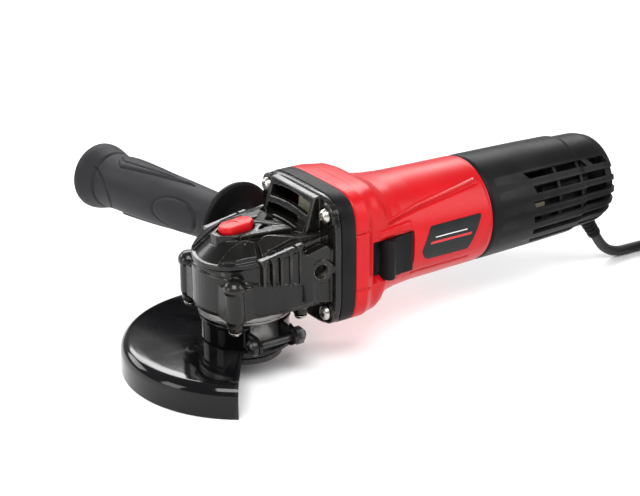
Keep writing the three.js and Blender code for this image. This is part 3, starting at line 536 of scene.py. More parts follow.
def roof_plates():
    """Raised leaf-shaped plates on both slopes, with narrow channels between them."""
    front_leaf = [(-24, -13.6), (-15.4, -12.6), (-8, -13.6), (-3.6, -17.2), (-7, -25.4), (-17, -20.6)]
    rear_leaf = [
        (-1.8, -17.6), (4.6, -15.4), (22, -20.4), (32, -26.6), (15, -24.2), (3, -25.2), (-4.4, -25.8),
    ]
    deck = [(-9, -10.6), (2, -8.6), (12, -7.4), (24.6, -11.6), (21, -16.8), (5, -13.6)]
    shapes = [
        (front_leaf, lambda x, y: roof_height(x, y) + 2.5),
        (rear_leaf, lambda x, y: roof_height(x, y) + 2.4),
        (deck, lambda x, y: min(slope_height(x, y) + 1.2, 19.9 + 0.03 * x)),
    ]
    return [dome(mirrored(outline, side), 5, top) for side in (-1, 1) for outline, top in shapes]


def straps():
    """Two flat bars from the button's bezel back to the lower corners of the vent hood."""
    bars = []
    for side in (-1, 1):
        outline = [(6.5, side * 0.5), (11.5, -side * 1.8), (28, side * 15), (26, side * 19)]
        bars.append(dome(outline, 12, lambda x, y: 21.2 - 0.06 * max(x - 8, 0)))
    return bars


def both_sides(half):
    """A closed outline from the half of it that lies on +Y."""
    return [*half, *mirrored(half, -1)[::-1]]


def hexagon(grow):
    """The button's outline: six sides, with the points at its front and rear cut off."""
    long, wide, middle = BUTTON["long"] + grow, BUTTON["wide"] + grow, BUTTON["x"]
    inner_x, inner_y = 0.62 * long, 0.45 * wide
    half = [(long, inner_y), (inner_x, wide), (-inner_x, wide), (-long, inner_y)]
    return both_sides([(x + middle, y) for x, y in half])


def bezel():
    """A pointed frame round the button, higher at its rear."""
    front, rear, wide = -18.5, 14, 9.2
    half = [(front, 3), (-9, wide), (2, wide), (rear, 1.4)]
    return prism(both_sides(half), "z", 12, lambda x, y: 19.2 + 0.05 * (x + 18))


def side_fins():
    """Upright ribs under the roof's edge, each with a pointed top, down to the head's belt."""
    ribs = []
    for side in (-1, 1):
        for x in (-5.4, 0.2, 5.2, 11, 16.8):
            top = rim_height(x) + 1.8
            foot = -3.2 - 0.19 * (x + 6)
            outline = [
                (x - 2.6, top), (x + 2.6, top + 0.8), (x + 0.9, top - 4), (x + 0.8, foot),
                (x - 0.8, foot), (x - 0.9, top - 4),
            ]
            ribs.append(prism(outline, "y", *span(side, 26, 30.7)))
    return ribs


def head_belt():
    """The thicker lower wall, and the lip at the roof's rim."""
    low = HEAD["bottom"]
    return [
        prism(footprint(0.8), "z", low + 2, lambda x, y: min(2.2, -2.6 - 0.19 * (x + 6))),
        prism(footprint(0.2), "z", low, low + 2.5),
        prism(footprint(0.7, rear=30), "z", lambda x, y: rim_height(x) - 1.8,
              lambda x, y: rim_height(x) + 0.9),
    ]


def handle_direction(side):
    return Vector((-HANDLE["forward"], side, -HANDLE["droop"])).normalized()


def handle_point(side, along):
    return Vector((HANDLE["x"], side * HANDLE["y"], HANDLE["z"])) + handle_direction(side) * along


def handle_boss(side):
    outline = [(19.6, -17), (34.8, -20.5), (34.8, 9), (30.6, 13), (22, 11), (19.6, 7)]
    block = prism(outline, "y", *span(side, 26, 33.2))
    cap = [(20, 9.4), (27, 3.4), (34.8, 3), (34.8, 9), (30.6, 13.2), (21, 11)]
    brow = prism(cap, "y", *span(side, 26, 34))
    post = rod(4.2, -17.6, 10.4, at(21.8, side * 29.6, 0))
    return [block, brow, post, bar(6.6, handle_point(side, -9), handle_point(side, -0.1))]


def rounded_square(half, low, high, edge):
    """A plate across X with a superellipse outline and a rounded front edge."""
    insets = ((low, edge), (low + edge * 0.3, edge * 0.3), (low + edge, 0), (high, 0))
    ring = superellipse(5, 144)
    return grid_solid([[(x, y * (half - inset), z * (half - inset)) for y, z in ring] for x, inset in insets])


def vent_hood():
    profile = [(34.8, 10), (24.8, 12), (25.2, 16.4), (31.2, 35.8), (34.8, 36.4)]
    return prism(profile, "y", -21.5, 21.5)


def vent_windows():
    """Two wide windows, bowed upward in the middle, with a hollow behind them."""
    tools = [prism([(40, 17.4), (28.6, 17.4), (33.6, 33.6), (40, 33.6)], "y", -18.6, 18.6)]
    for low, high in ((17.4, 22.8), (26.4, 32.6)):
        across = [-18.8 + 37.6 * i / 12 for i in range(13)]
        sill, lintel = ([(y, z - 0.004 * y * y + 0.8) for y in across] for z in (low, high))
        tools.append(prism([*sill, *lintel[::-1]], "x", 20, 37))
    return tools


def screw_corners():
    return [(y, z) for z in (SCREW_Z, -SCREW_Z) for y in (-SCREW_Y, SCREW_Y)]


def corner_rods(radius, low, high, steps=48):
    """Four rods along X, where the head's screws are."""
    return [rod(radius, low, high, at(0, y, z, (1, 0, 0)), steps) for y, z in screw_corners()]


def column_places():
    return [(x, y) for x in (-COLUMN["x"], COLUMN["x"]) for y in (-COLUMN["y"], COLUMN["y"])]


def columns():
    """The four posts that the cover's screws go into, each with a web that joins it to the wall."""
    bottom, radius = HEAD["bottom"], COLUMN["radius"]
    foot = bottom - 4.6
    profile = [
        (0, foot), (4.3, foot), (4.6, bottom), (radius, bottom + 1), (radius, -5), (6.1, -3.4), (5.9, -1),
        (3.6, 1.8), (0, 2.4),
    ]
    made = []
    for x, y in column_places():
        made.append(turn(rounded(profile, 1.6), at(x, y, 0), 48))
        out = Vector((x, y)).normalized()
        side = Vector((-out.y, out.x))
        web = [(32.4, 4.2), (24, 12), (24, -12), (32.4, -4.2)]
        made.append(prism([tuple(out * far + side * across) for far, across in web], "z", bottom, -3.4))
    return made


def head_casting():
    body = join(
        prism(footprint(), "z", HEAD["bottom"], rim_height), dome(footprint(-0.3), 0, roof_height, 1.1, 26),
        *head_belt(), vent_hood(), bezel(), *roof_plates(), *straps(), *side_fins(), *columns(),
        *handle_boss(-1), *handle_boss(1), rounded_square(37.3, HEAD["rear"], 38, 1.2),
        *corner_rods(6.4, 33.6, 38),
    )
    pin = at(LOCK_PIN_X, 0, 0)
    cut(
        body,
        rod(22.5, HEAD["bottom"] - 1, -3), rod(7, -4, 5), rod(7.8, 4.7, 13.6), rod(2, -4, 9, pin),
        rod(3.4, 8.3, 16, pin), rod(9.5, 0, 22.5, ALONG_X), rod(13.3, 22.2, 39, ALONG_X),
        prism(hexagon(0.9), "z", 15.1, 30), *vent_windows(),
        *[bar(4.2, handle_point(side, -13), handle_point(side, 2)) for side in (1, -1)],
        *corner_rods(SCREW_HOLE, 31, 40),
        *[rod(1.9, HEAD["bottom"] - 6, -8, at(x, y, 0)) for x, y in column_places()],
    )
    melt(body, 0.44, 2, keep=0.45)
    finish(body, "head_casting", "housing", "painted_casting", ["gear_housing"], sharp=60)


def hole_linings():
    """Bare threads inside the two handle holes."""
    for side, name in ((-1, "near_hole_thread"), (1, "far_hole_thread")):
        profile = [*thread(4.15, 3.97, -12.6, 1.3, 9, 0.6), (4.15, -0.6), (4.6, -0.6), (4.6, -12.6)]
        lining = lathe(profile, axis_frame(handle_point(side, 0), handle_direction(side)), 48)
        finish(lining, name, "housing", "bright_steel", sharp=25)


def vent_lining():
    """The pale fan chamber seen through the hood's windows."""
    shell = prism([(37.8, 12), (34.6, 16.6), (36.6, 33.5), (37.8, 33.5)], "y", -16.8, 1.5)
    soften(shell, 0.5)
    finish(shell, "vent_lining", "housing", "inner_plastic")


def cross_screw(name, head, matrix, node, length, body="housing", slot="bright_steel"):
    """A pan-head screw with a cross recess and a washer face; its shank goes down the matrix's Z."""
    radius, tall = head
    shank = radius * 0.45
    profile = [
        (0, -tall), (radius * 0.55, -tall), (radius * 0.9, -tall * 0.62), (radius, -0.35), (radius, 0),
        (shank, 0), (shank, length), (0, length),
    ]
    screw = turn(rounded(profile, 0.5), matrix, 40)
    wide, reach = 0.16 * radius, 0.58 * radius
    corners = [(-reach, -wide), (reach, -wide), (reach, wide), (-reach, wide)]
    for angle in (20, 110):
        arm = matrix @ Matrix.Rotation(math.radians(angle), 4, "Z")
        levels = (-tall - 1, -tall / 2)
        cut(screw, grid_solid([[arm @ Vector((x, y, z)) for x, y in corners] for z in levels]))
    soften(screw, 0.12, 2, 50)
    finish(screw, name, body, slot, [node])


def head_screws():
    for i, (y, z) in enumerate(screw_corners()):
        matrix = at(33.4, y, z, (1, 0, 0))
        cross_screw(f"corner_screw_{i + 1}", (4.1, 2.8), matrix, f"head_screw_{i + 1}", 22)


def flange_ring():
    ring = rounded_square(37.6, 38.3, 47, 0.5)
    cut(ring, rod(33, 37, 48, ALONG_X, 96), *corner_rods(SCREW_HOLE, 37, 48, 24))
    finish(ring, "fan_flange", "housing", "black_plastic", ["flange_ring"])


def bearing_cover():
    plate = rod(25.6, -27, -22.3, ALONG_Z, 96, edge=0.8)
    join(plate, rod(21.3, -41, -26, ALONG_Z, 96))
    cut(plate, rod(16.3, -36.9, -21), rod(9.2, -42, -36))
    cut(plate, lathe([(25, -25.4), (27, -25.4), (27, -24.4), (25, -24.4)], ALONG_Z, 96))
    soften(plate, 0.3, 2)
    finish(plate, "spindle_cover", "housing", "bright_steel", ["bearing_cover"], look="cast_alloy")


def cover_screws():
    for i, (x, y) in enumerate(column_places()):
        cross_screw(f"cover_bolt_{i + 1}", (3.5, 2.3), at(x, y, -27.3), f"cover_screw_{i + 1}", 17)


def lock_button():
    high = BUTTON["high"]
    button = prism(hexagon(0), "z", BUTTON["low"], lambda x, y: high + 0.1 * (x - BUTTON["x"]))
    soften(button, 0.9, 4, 30)
    cut(button, rod(3.4, high - 0.4, high + 2, at(BUTTON["x"], 0, 0, (-0.1, 0, 1)), 40))
    finish(button, "spindle_lock_button", "lock", "red_plastic", ["lock_button"])


# ---------------- motor housing

BODY = {"front": 47.3, "rear": 145.0, "drop": -0.9}
RED_STATIONS = [
    # x, half width, half height, power, drop
    (47.3, 37.5, 37.6, 5.0, 0.0), (55, 37.3, 37.6, 5.0, 0.0), (57, 36.3, 37.5, 5.0, 0.0),
    (59, 34.9, 37.5, 5.0, 0.0), (61, 34.3, 37.4, 4.9, 0.0), (65, 34.0, 37.2, 4.6, 0.0),
    (68.5, 33.7, 36.2, 3.9, -0.1), (71.5, 33.4, 33.8, 3.0, -0.4), (76, 33.0, 32.4, 2.6, -0.6),
    (84, 32.4, 31.9, 2.3, -0.8), (97, 31.7, 31.6, 2.1, -0.9), (145, 31.0, 31.0, 2.0, -0.9),
]
SWITCH = {"front": 60.6, "rear": 89.8, "low": -16.0, "high": 8.0, "floor": -29.6}


SEAMS = [
    # start, end, height
    ((44, 15.7), (57, 16.6), -1.1), ((44, -16.3), (57, -16.6), -1.1), ((72, 16.7), (139, 23.5), 1.1),
    ((72, 15.4), (139, 22.2), -0.9), ((90, -18.7), (131, -18.8), -0.8),
]


def step(t, start, width):
    """0 before start and 1 after it, with a smooth rise as wide as width says."""
    return ease(np.clip((t - start) / width + 0.5, 0, 1))


def window(t, low, high, rise_low, rise_high):
    """1 between two levels and 0 outside them."""
    return step(t, low, rise_low) * (1 - step(t, high, rise_high))


def line_mark(x, z, start, end, width):
    """1 on a straight line between two points, falling to 0 a width away."""
    a, b = np.array(start), np.array(end)
    along = b - a
    t = np.clip(((x - a[0]) * along[0] + (z - a[1]) * along[1]) / (along @ along), 0, 1)
    away = np.hypot(x - a[0] - t * along[0], z - a[1] - t * along[1])
    return np.exp(-(away / width) ** 2)


def red_surface():
    """Rings of the red housing's outer skin, with its seams, creases, ledge and switch recess."""
    xs = np.unique(np.concatenate([np.arange(BODY["front"], BODY["rear"], 0.5), [BODY["rear"]]]))
    angles = np.radians(np.arange(0, 360, 0.9))
    x, angle = np.meshgrid(xs, angles, indexing="ij")
    stations = np.array(RED_STATIONS)
    wide, tall, power, drop = (np.interp(x, stations[:, 0], stations[:, i]) for i in (1, 2, 3, 4))
    c, s = np.cos(angle), np.sin(angle)
    reach = (np.abs(c / wide) ** power + np.abs(s / tall) ** power) ** (-1 / power)
    z = reach * s + drop
    near = (c < -0.2).astype(float)
    sides = (np.abs(c) > 0.2).astype(float)
    for start, end, height in SEAMS:
        reach = reach + height * sides * line_mark(x, z, start, end, 0.6)
    ledge = window(x, 64.5, 87.5, 1.6, 1.6) * window(z, 9.2, 13.4, 0.9, 1.2)
    reach = reach + 1.8 * near * ledge
    reach = reach - 0.5 * step(x, 143.6, 1.6) - 0.6 * (1 - step(x, BODY["front"] + 0.4, 0.9))
    pocket = window(x, SWITCH["front"] + 0.3, SWITCH["rear"] - 0.3, 0.6, 0.6) * near
    pocket = pocket * window(z, SWITCH["low"] + 0.3, SWITCH["high"] - 0.3, 0.6, 0.6)
    floor_reach = SWITCH["floor"] / np.minimum(c, -0.2)
    reach = reach * (1 - pocket) + floor_reach * pocket
    return np.stack([x, reach * c, reach * s + drop], axis=-1)


def red_housing():
    skin = [[tuple(p) for p in ring] for ring in red_surface()]
    angles = [math.radians(360 * i / len(skin[0])) for i in range(len(skin[0]))]
    bore = [
        [(x, radius * math.cos(a), radius * math.sin(a) + BODY["drop"]) for a in angles]
        for x, radius in ((BODY["rear"], 28.3), (60.8, 28.3), (60.5, 33.4), (BODY["front"], 33.4))
    ]
    body = grid_solid([*skin, *bore, skin[0]], close_ends=False)
    finish(body, "red_housing", "housing", "red_plastic", ["motor_housing"], sharp=55)


def switch_well():
    """The black plate at the bottom of the switch's recess, with two rivets."""
    floor = SWITCH["floor"]
    front, rear, low, high = (SWITCH[k] for k in ("front", "rear", "low", "high"))
    plate = box(front + 0.3, rear - 0.3, floor - 0.22, floor + 1, low + 0.3, high - 0.3)
    for z in (-12.6, 4.6):
        join(plate, rod(1.0, -0.25, 0.2, axis_frame((65.2, floor, z), (0, 1, 0)), 20))
    finish(plate, "switch_well", "housing", "black_plastic")


def switch_slider():
    floor = SWITCH["floor"]
    outline = [
        (67.3, floor - 0.35), (67.7, -34), (69.2, -37), (71.4, -37.4), (73.6, -36.8), (75.6, -33.6),
        (82, -32.3), (88.6, -32.2), (89.3, floor - 0.35),
    ]
    body = prism(rounded(outline, 1.0), "z", -15.4, 7.4)
    soften(body, 0.8, 4, 50)
    finish(body, "power_slider", "switch", "black_plastic", ["switch_slider"])


def badge_patch(front, rear, low, high, lean, radius, thick):
    """A leaning patch with cut corners, bent round the motor axis at a radius."""
    steps, rings = 24, []
    for i in range(steps + 1):
        t = i / steps
        z = low + (high - low) * t
        inset = 0.6 * max(0.0, abs(t - 0.5) - 0.45) / 0.05
        start, length = front + lean * (t - 0.5) + inset, rear - front - 2 * inset
        line = [start + length * j / steps for j in range(steps + 1)]
        inner, outer = (-math.sqrt(r * r - (z - BODY["drop"]) ** 2) for r in (radius, radius + thick))
        rings.append([*[(x, inner, z) for x in line], *[(x, outer, z) for x in line[::-1]]])
    return grid_solid(rings)


def label_plate():
    """A thin badge bent round the housing, with two plain stripes."""
    radius, thick = 31.15, 0.75
    plate = badge_patch(96.8, 132.4, -12, 7.6, 8.6, radius, thick)
    finish(plate, "badge", "housing", "label_film", ["label_plate"])
    for name, shape, look in (
        ("badge_stripe", (101, 129, -2.8, -1.4, 0.6), "badge_red"),
        ("badge_rule", (104, 126, 0.6, 1.1, 0.2), "badge_pale"),
    ):
        finish(badge_patch(*shape, radius + 0.7, 0.12), name, "housing", "label_film", look=look)


# ---------------- rear cap

CAP = {"front": 145.4, "rear": 243.5, "wall": 2.7}
LOUVRE = {"start": 177.5, "width": 4.4, "angles": (42, 25, 8, -9, -26, -43)}
CORD_GUARD = {"x": 235, "z": -19, "steep": 55, "length": 26}


def cord_guard_frame():
    steep = math.radians(CORD_GUARD["steep"])
    start = (CORD_GUARD["x"], 0, CORD_GUARD["z"])
    return axis_frame(start, (math.cos(steep), 0, -math.sin(steep)), up=(0, 1, 0))


def turned_box(x0, x1, width, angle, slant):
    """A slot tool pointing outward at an angle round the motor axis, its front end slanted."""
    half = width / 2
    corners = [(x0 - slant, -half), (x0 + slant, half), (x1 + slant, half), (x1 - slant, -half)]
    c, s = math.cos(angle), math.sin(angle)
    return grid_solid([
        [(x, reach * c - across * s, reach * s + across * c + BODY["drop"]) for x, across in corners]
        for reach in (21, 37)
    ])


def rear_cap():
    front, rear, wall = CAP["front"], CAP["rear"], CAP["wall"]
    profile = [
        (0, front), (31, front), (31, 150), (30.2, 190), (29.4, 214.6), (28.2, 217), (27.7, 234),
        (25.6, 241), (20, rear), (0, rear),
    ]
    matrix = at(0, 0, BODY["drop"], (1, 0, 0))
    outer = turn(rounded(profile, 2.2), matrix, 128)
    hollow = [
        (0, front - 1), (31 - wall, front - 1), (31 - wall, 150), (29.4 - wall, 214), (27.2 - wall, 232),
        (20, rear - 3.5), (0, rear - 3.5),
    ]
    cut(outer, turn(hollow, matrix, 96))
    for side in (-1, 1):
        for i, angle in enumerate(LOUVRE["angles"]):
            turned = math.radians(180 - angle if side < 0 else angle)
            start = LOUVRE["start"] + (1.5 * abs(i - 2.5) - 2 if i else -3)
            slots = [(start, 258, 0.8)] if i else [(start, 219.5, 1.6), (224, 236, 1.6)]
            for x0, x1, slant in slots:
                cut(outer, turned_box(x0, x1, LOUVRE["width"], turned, -side * slant))
    for x in (197.5, 215):
        outer_radius = float(np.interp(x, [150, 214.6, 217], [31, 29.4, 28.2])) - 2.2
        join(outer, sleeve(outer_radius - 3, outer_radius, x - 0.9, x + 0.9, matrix, 96))
    join(outer, sleeve(21.8, 24.2, front, 175, matrix, 96), sleeve(11.3, 23, 168, 176.5, matrix, 96),
         box(178, 238, 3, 4.4, -23, 23))
    cut(outer, rod(5.4, -6, 20, cord_guard_frame(), 40))
    cut(outer, rod(2, -34, -26, at(152, 0, 0), 24), rod(4.4, -34, -30, at(152, 0, 0), 32))
    soften(outer, 0.35, 2, 45)
    finish(outer, "louvred_cap", "housing", "black_plastic", ["rear_cap"], sharp=35)
    cross_screw("cap_bolt", (3.8, 1.5), at(152, 0, -30.4), "cap_screw", 5, slot="dark_steel")


def cord_guard():
    """The strain relief: a collar in the cap, then a ribbed taper down the lead."""
    profile = [(1.1, -4), (7, -4), (7, -1.5), (5.2, -1.5), (5.0, 3)]
    for i in range(6):
        along = 4 + 3.2 * i
        radius = 4.95 - 0.14 * i
        groove = radius - 0.75
        profile += [(radius, along), (radius, along + 1.5), (groove, along + 1.9), (groove, along + 2.8)]
    profile += [(4.2, 23.4), (4.1, CORD_GUARD["length"]), (1.1, CORD_GUARD["length"])]
    relief = lathe(rounded_loop(profile, 0.25, 2), cord_guard_frame(), 48)
    finish(relief, "strain_relief", "housing", "black_plastic", ["cord_guard"])


# ---------------- guard, clamp and spindle

GUARD = {"radius": 68, "sheet": 1.7, "top": -42.2, "rim": -60.2, "facing": 145.7}
BAND = {"inner": 21.7, "outer": 24, "top": -28.5, "bottom": -41.7, "low": -41, "high": -31.2}
CLAMP = {"y": -30, "z": -36, "ear": 10, "radius": 2.4}


def wheel_guard():
    """Half a pressed pan: a flat plate, a rounded shoulder and its skirt, cut straight."""
    radius, sheet, top, rim = (GUARD[k] for k in ("radius", "sheet", "top", "rim"))
    bore = BAND["inner"] + 0.1
    outside = [
        (bore, top), (60, top), (64.4, top - 0.2), (67.2, top - 2.8), (radius, top - 5.6),
        (radius, rim + 0.5), (radius - 0.4, rim),
    ]
    inside = [
        (radius - sheet + 0.3, rim), (radius - sheet, rim + 0.4), (radius - sheet, top - 6.6),
        (63.4, top - sheet), (bore, top - sheet),
    ]
    profile = rounded(outside, 2.6, 6) + rounded(inside, 1.4, 5)
    pan = lathe(profile, ALONG_Z, 150, GUARD["facing"] - 90, GUARD["facing"] + 90)
    join(pan, sleeve(bore, 27, top - sheet, top, ALONG_Z, 128))
    soften(pan, 0.5, 3, 50)
    for turned in (-62, -30, 30, 62):
        angle = math.radians(GUARD["facing"] + turned)
        middle = at(28.6 * math.cos(angle), 28.6 * math.sin(angle), top)
        cut(pan, turn([(0, -0.25), (1.3, -0.25), (1.7, 0.6), (0, 0.6)], middle, 24))
    finish(pan, "disc_guard", "guard", "guard_paint", ["wheel_guard"], sharp=35)


def clamp_bar(start, end):
    """The clearance hole of the clamp screw, as a rod along X."""
    return bar(CLAMP["radius"] + 0.3, (start, CLAMP["y"], CLAMP["z"]), (end, CLAMP["y"], CLAMP["z"]))


def guard_collar():
    """The band that grips the spindle's neck, with two folded ears and the clamp screw's hole through them.
    """
    inner, outer, top, bottom = (BAND[k] for k in ("inner", "outer", "top", "bottom"))
    gap = math.degrees(math.asin(CLAMP["ear"] / outer))
    section = [
        (inner, bottom), (outer, bottom), (outer, top - 2.6), (outer + 0.9, top - 1.6),
        (outer + 0.9, top), (inner + 0.2, top), (inner, top - 1),
    ]
    band = lathe(rounded_loop(section, 0.4, 3), ALONG_Z, 128, -90 + gap, 270 - gap)
    y, low, high = CLAMP["y"], BAND["low"], BAND["high"]
    ear = [(-20.6, low), (-20.6, high), (y, high), (y - 5, high - 3), (y - 5, low + 3), (y, low)]
    for side in (-1, 1):
        join(band, prism(rounded_loop(ear, 0.1), "x", *span(side, CLAMP["ear"], CLAMP["ear"] + 2.2)))
    cut(band, rod(inner, bottom - 1, top + 1, ALONG_Z, 128), clamp_bar(-20, 20))
    soften(band, 0.35, 3, 50)
    finish(band, "guard_band", "guard", "guard_paint", ["guard_collar"], sharp=35)


def clamp_parts():
    face, y, z, corner = CLAMP["ear"] + 2.5, CLAMP["y"], CLAMP["z"], 4.9
    cross_screw("clamp_bolt", (4.7, 3.6), at(-face, y, z, (1, 0, 0)), "clamp_screw", 2 * face + 6.4,
                "clamp", "dark_steel")
    angles = [i * math.pi / 3 for i in range(6)]
    hexagonal = [(y + corner * math.cos(a), z + corner * math.sin(a)) for a in angles]
    nut = prism(hexagonal, "x", face, face + 4.2)
    cut(nut, clamp_bar(face - 1, face + 6))
    soften(nut, 0.4, 3)
    finish(nut, "clamp_hex_nut", "guard", "dark_steel", ["clamp_nut"])


def spindle_parts():
    inner = [(7.2, -48.6), (20, -48.6), (20, -46.2), (17.4, -44.5), (7.2, -44.5)]
    flange = lathe(rounded_loop(inner, 0.5))
    finish(flange, "seat_flange", "output_spindle", "dark_steel", ["inner_flange"], sharp=30)
    outer = [(7.2, -53.3), (18.2, -53.3), (20, -52), (20, -49), (7.2, -49)]
    nut = lathe(rounded_loop(outer, 0.5))
    key_circle = 14.5
    for i in range(4):
        a = i * math.pi / 2
        cut(nut, rod(2.2, -54, -50.4, at(key_circle * math.cos(a), key_circle * math.sin(a), 0), 28))
    soften(nut, 0.25, 2, 50)
    finish(nut, "lock_nut", "output_spindle", "dark_steel", ["flange_nut"], sharp=30)
    profile = [
        (0, -56), (5.6, -56), *thread(5.9, 6.9, -55.4, 2.0, 5, 0.9), (6.9, -44.2), (8.6, -44.2),
        (8.6, -37.2), (6, -37.2), (6, 11.5), (5, 12.5), (0, 12.5),
    ]
    shaft = turn(profile, ALONG_Z, 64)
    finish(shaft, "spindle_shaft", "output_spindle", "bright_steel", ["spindle"], sharp=30)


# ---------------- side handle

def handle_frame():
    return axis_frame(handle_point(1, 0), handle_direction(1), up=(-1, 0, 0))


def handle_shield():
    profile = [
        (4.2, 5.3), (9, 5.3), (10, 8), (10.3, 11.6), (14, 12.9), (23.6, 12.2), (25.1, 13.2),
        (25.3, 14.6), (24.8, 16.4), (23, 17.2), (14, 17.3), (11, 18), (9, 19.5), (9, 140), (4.2, 140),
    ]
    matrix = handle_frame()
    shield = lathe(rounded_loop(profile, 0.8), matrix, 128)
    cut(shield, lathe([(10.9, 10), (13.2, 12.55), (13.2, 10)], matrix))
    finish(shield, "handle_shield", "side_handle", "black_plastic", ["handle_core"], sharp=30)


def handle_bolt():
    profile = [
        (0, -11), (2.9, -11), *thread(3.2, 3.9, -10.4, 1.25, 9, 0.6), (3.9, 2), (6.8, 2), (6.8, 5),
        (3.9, 5), (3.9, 32), (0, 32),
    ]
    bolt = turn(profile, handle_frame(), 48)
    finish(bolt, "handle_stud", "side_handle", "bright_steel", ["handle_bolt"], sharp=30)


def grip_surface():
    """Rings of the rubber grip: ring grooves near both ends, two pointed leaves with ribs, an oval
    pad on each side, and curved creases."""
    outline = np.array([
        (18.6, 12.2), (20.5, 13.4), (30, 13.9), (42, 14.3), (60, 15.2), (82, 16.0), (105, 16.4),
        (122, 16.4), (128, 16.8), (133, 17.7), (138, 19), (142.5, 20.2), (145.5, 20), (147.8, 18.2),
        (149.4, 14), (150.1, 7),
    ])
    alongs = np.concatenate([np.arange(18.6, 144, 0.6), np.arange(144, 150.5, 0.35)])
    angles = np.radians(np.arange(0, 360, 1.5))
    along, angle = np.meshgrid(alongs, angles, indexing="ij")
    fine = np.interp(along[:, 0], outline[:, 0], outline[:, 1])
    blended = np.convolve(np.pad(fine, 4, "edge"), np.ones(9) / 9, "valid")
    radius = np.where(alongs < 145, blended, fine)[:, None] * np.ones_like(angle)
    reach = radius.copy()
    reach -= 0.9 * np.exp(-((along - 130) / 0.9) ** 2)
    reach -= 0.35 * np.exp(-((along - 24) / 0.7) ** 2)

    def from_line(middle):
        """How far each point is round the grip from the line at an angle, with its sign."""
        return ((np.degrees(angle) - middle + 180) % 360 - 180) * math.pi / 180 * radius

    for middle in (90, 270):
        across = np.abs(from_line(middle))
        t = np.clip((along - 50) / 70, 0, 1)
        half = 9.5 * t ** 0.85 * np.sqrt(np.clip((121 - along) / 8, 0, 1))
        inside = (along > 50) & (along < 121)
        edge = np.where(inside, np.exp(-((across - half) / 0.65) ** 2), 0)
        lifted = np.where(inside, 1 / (1 + np.exp(np.clip((across - half) / 0.5, -30, 30))), 0)
        reach += 1.1 * lifted - 0.9 * edge
        rib = np.where(inside & (half > 3), np.exp(-((across - 0.45 * half) / 0.55) ** 2), 0)
        reach -= 0.9 * rib
    for middle in (0, 180):
        signed = from_line(middle)
        oval = np.hypot((along - 54) / 19, signed / 10)
        reach -= 0.9 * np.exp(-((oval - 1) * 11 / 0.75) ** 2)
        reach += 0.4 / (1 + np.exp(np.clip((oval - 1) * 30, -30, 30)))
        bow = along - 115 - 0.06 * (signed + 4) ** 2
        reach -= 0.8 * np.exp(-(bow / 0.8) ** 2) * (np.abs(signed) < 13)
    c, s = np.cos(angle), np.sin(angle)
    return np.stack([reach * c, reach * s, along], axis=-1)


def handle_grip():
    matrix = handle_frame()
    grip = grid_solid([[tuple(matrix @ Vector(p)) for p in ring] for ring in grip_surface()])
    cut(grip, rod(9.3, 20, 140.4, matrix, 240), rod(5.5, 148.8, 152, matrix, 48, edge=0.4))
    finish(grip, "rubber_grip", "side_handle", "grip_rubber", ["handle_grip"], sharp=50)


# ---------------- lead, coil and plug

CORD = {"diameter": 6.2, "pitch": 6.3, "turns": 9}
CORD_ROUTE = [
    (250.1, 0, -40.6), (252, 0, -43.3), (254.2, 0, -46.4), (258.6, 0, -51.3), (264.1, 0, -54.8),
    (270.4, 0, -56.7), (276.5, 0, -57.1), (284, -0.2, -57.1), (293, -0.8, -57.1), (302, -2, -57.1),
    (311, -4, -57.1), (319, -6.6, -57.1),
]
COIL = {"radius": 34.1, "entry": (319, -6.6), "heading": -19, "reach": 46.95}
PLUG = {"heading": -150, "height": 12}


def coil_centre():
    heading = math.radians(COIL["heading"])
    x, y = COIL["entry"]
    return x + COIL["reach"] * math.sin(heading), y - COIL["reach"] * math.cos(heading)


def coil_points():
    """Nine turns in three columns and three layers, wound from the outer bottom to the outer top."""
    places = [(1, 0), (0, 0), (-1, 0), (-1, 1), (-1, 2), (0, 2), (0, 1), (1, 1), (1, 2)]
    pitch, base, turns = CORD["pitch"], FLOOR + CORD["diameter"] / 2, CORD["turns"]
    start = 90 + COIL["heading"]
    leave = 90 + PLUG["heading"] - 360 * turns
    cx, cy = coil_centre()
    points, knot_spacing, change_share = [], 12, 0.14
    angle = start - knot_spacing
    while angle > leave:
        turned = (start - angle) / 360
        index = min(int(turned), turns - 1)
        last = index == turns - 1
        change = 0 if last else ease(min(max((turned - index - 1 + change_share) / change_share, 0), 1))
        here, there = places[index], places[index if last else index + 1]
        column, layer = (a + (b - a) * change for a, b in zip(here, there))
        radius = COIL["radius"] + column * pitch
        if index == 0:
            lead_in = COIL["reach"] - COIL["radius"] - pitch
            radius += lead_in * (1 - ease(min((start - angle) / 70, 1)))
        a = math.radians(angle)
        points.append((cx + radius * math.cos(a), cy + radius * math.sin(a), base + layer * pitch))
        angle -= knot_spacing
    return points, leave


def mains_lead():
    """The lead, its coil and the last stretch to the plug, as one curve."""
    turns, leave = coil_points()
    cx, cy = coil_centre()
    a, heading = math.radians(leave), math.radians(PLUG["heading"])
    radius = COIL["radius"] + CORD["pitch"]
    out = Vector((cx + radius * math.cos(a), cy + radius * math.sin(a), turns[-1][2]))
    forward = Vector((math.cos(heading), math.sin(heading), 0))
    rise = FLOOR + PLUG["height"] - out.z
    tail = []
    for along in (0, 8, 16, 25, 34):
        lift = Vector((0, 0, rise * ease(min(along / 25, 1))))
        tail.append(out + forward * along + lift)
    line = [place(point) for point in (*CORD_ROUTE, *turns, *tail)]
    data = bpy.data.curves.new("mains_lead", "CURVE")
    data.dimensions = "3D"
    data.resolution_u = 4
    data.bevel_depth = CORD["diameter"] / 2 * MM
    data.bevel_resolution = 5
    data.use_fill_caps = True
    spline = data.splines.new("BEZIER")
    spline.bezier_points.add(len(line) - 1)
    for knot, point in zip(spline.bezier_points, line):
        knot.co = point
        knot.handle_left_type = knot.handle_right_type = "AUTO"
    data.materials.append(MATERIALS["cord_sheath"])
    lead = link("mains_lead", data)
    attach(lead, "housing")
    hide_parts("mains_cord", "cord_coil")
    return lead, line, out, forward


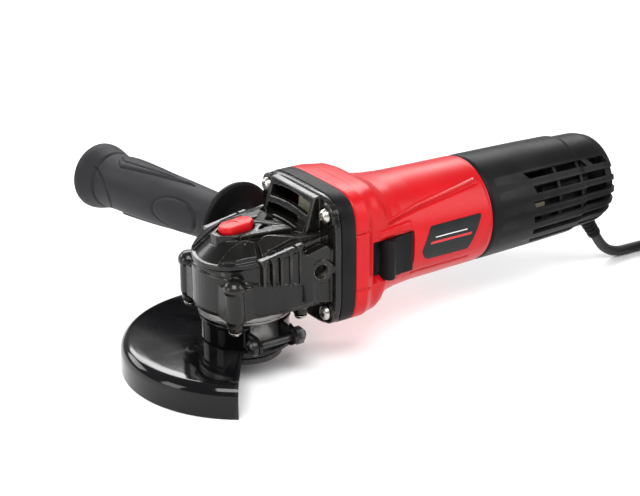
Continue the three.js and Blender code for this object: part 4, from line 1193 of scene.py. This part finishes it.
def plug(out, heading):
    """A moulded two-pin plug with side contacts, lying flat on the floor."""
    matrix = axis_frame((out.x, out.y, FLOOR + PLUG["height"]), heading)
    stations = [
        # along, half width, half height, power
        (24.5, 3.8, 3.8, 2), (27, 4.6, 4.6, 2), (38, 5.2, 5.4, 2), (50, 6.2, 6.6, 2.2), (55, 10, 8.4, 2.6),
        (60, 16.4, 10.8, 3.2), (66, 17.4, 11.8, 4), (84, 18.2, 11.9, 4.5), (87, 18.2, 11.6, 4.5),
        (88, 17.2, 10.8, 4.5),
    ]
    body = grid_solid([
        [matrix @ Vector((z * tall, y * wide, along)) for z, y in superellipse(power, 64)]
        for along, wide, tall, power in stations
    ])
    for along in (29, 33, 37, 41):
        cut(body, lathe([(4.4, along), (9, along), (9, along + 1.6), (4.4, along + 1.6)], matrix, 48))
    for side in (-1, 1):
        corners = [(-9, side * 16.6), (9, side * 16.6), (9, side * 20), (-9, side * 20)]
        for along in (64, 68.5, 73, 77.5):
            ends = (along, along + 1.6)
            cut(body, grid_solid([[matrix @ Vector((*corner, end)) for corner in corners] for end in ends]))
    soften(body, 0.4, 2, 45)
    finish(body, "plug_body", "housing", "cord_sheath", ["mains_plug"], sharp=40)
    made = [body]
    for i, across in enumerate((-9.5, 9.5)):
        pin_frame = matrix @ Matrix.Translation((0, across, 0))
        pin_profile = [(0, 86), (2.4, 86), (2.4, 105), (1.4, 107), (0, 107)]
        pin = turn(rounded(pin_profile, 0.6), pin_frame, 32)
        finish(pin, f"plug_pin_{i + 1}", "housing", "bright_steel")
        made.append(pin)
    return made


# ---------------- build

lead, lead_line, plug_start, plug_direction = mains_lead()
plug_pieces = plug(plug_start, plug_direction)

studio()
make_floor()

head_casting()
hole_linings()
vent_lining()
head_screws()
flange_ring()
bearing_cover()
cover_screws()
lock_button()
red_housing()
switch_well()
switch_slider()
label_plate()
rear_cap()
cord_guard()
wheel_guard()
guard_collar()
clamp_parts()
spindle_parts()
handle_shield()
handle_bolt()
handle_grip()

for name, node in frame["nodes"].items():
    if not node.hide_render:
        node.data.materials.clear()
        node.data.materials.append(MATERIALS[SLOT_OF[name]])
        node.data.set_sharp_from_angle(angle=math.radians(30))
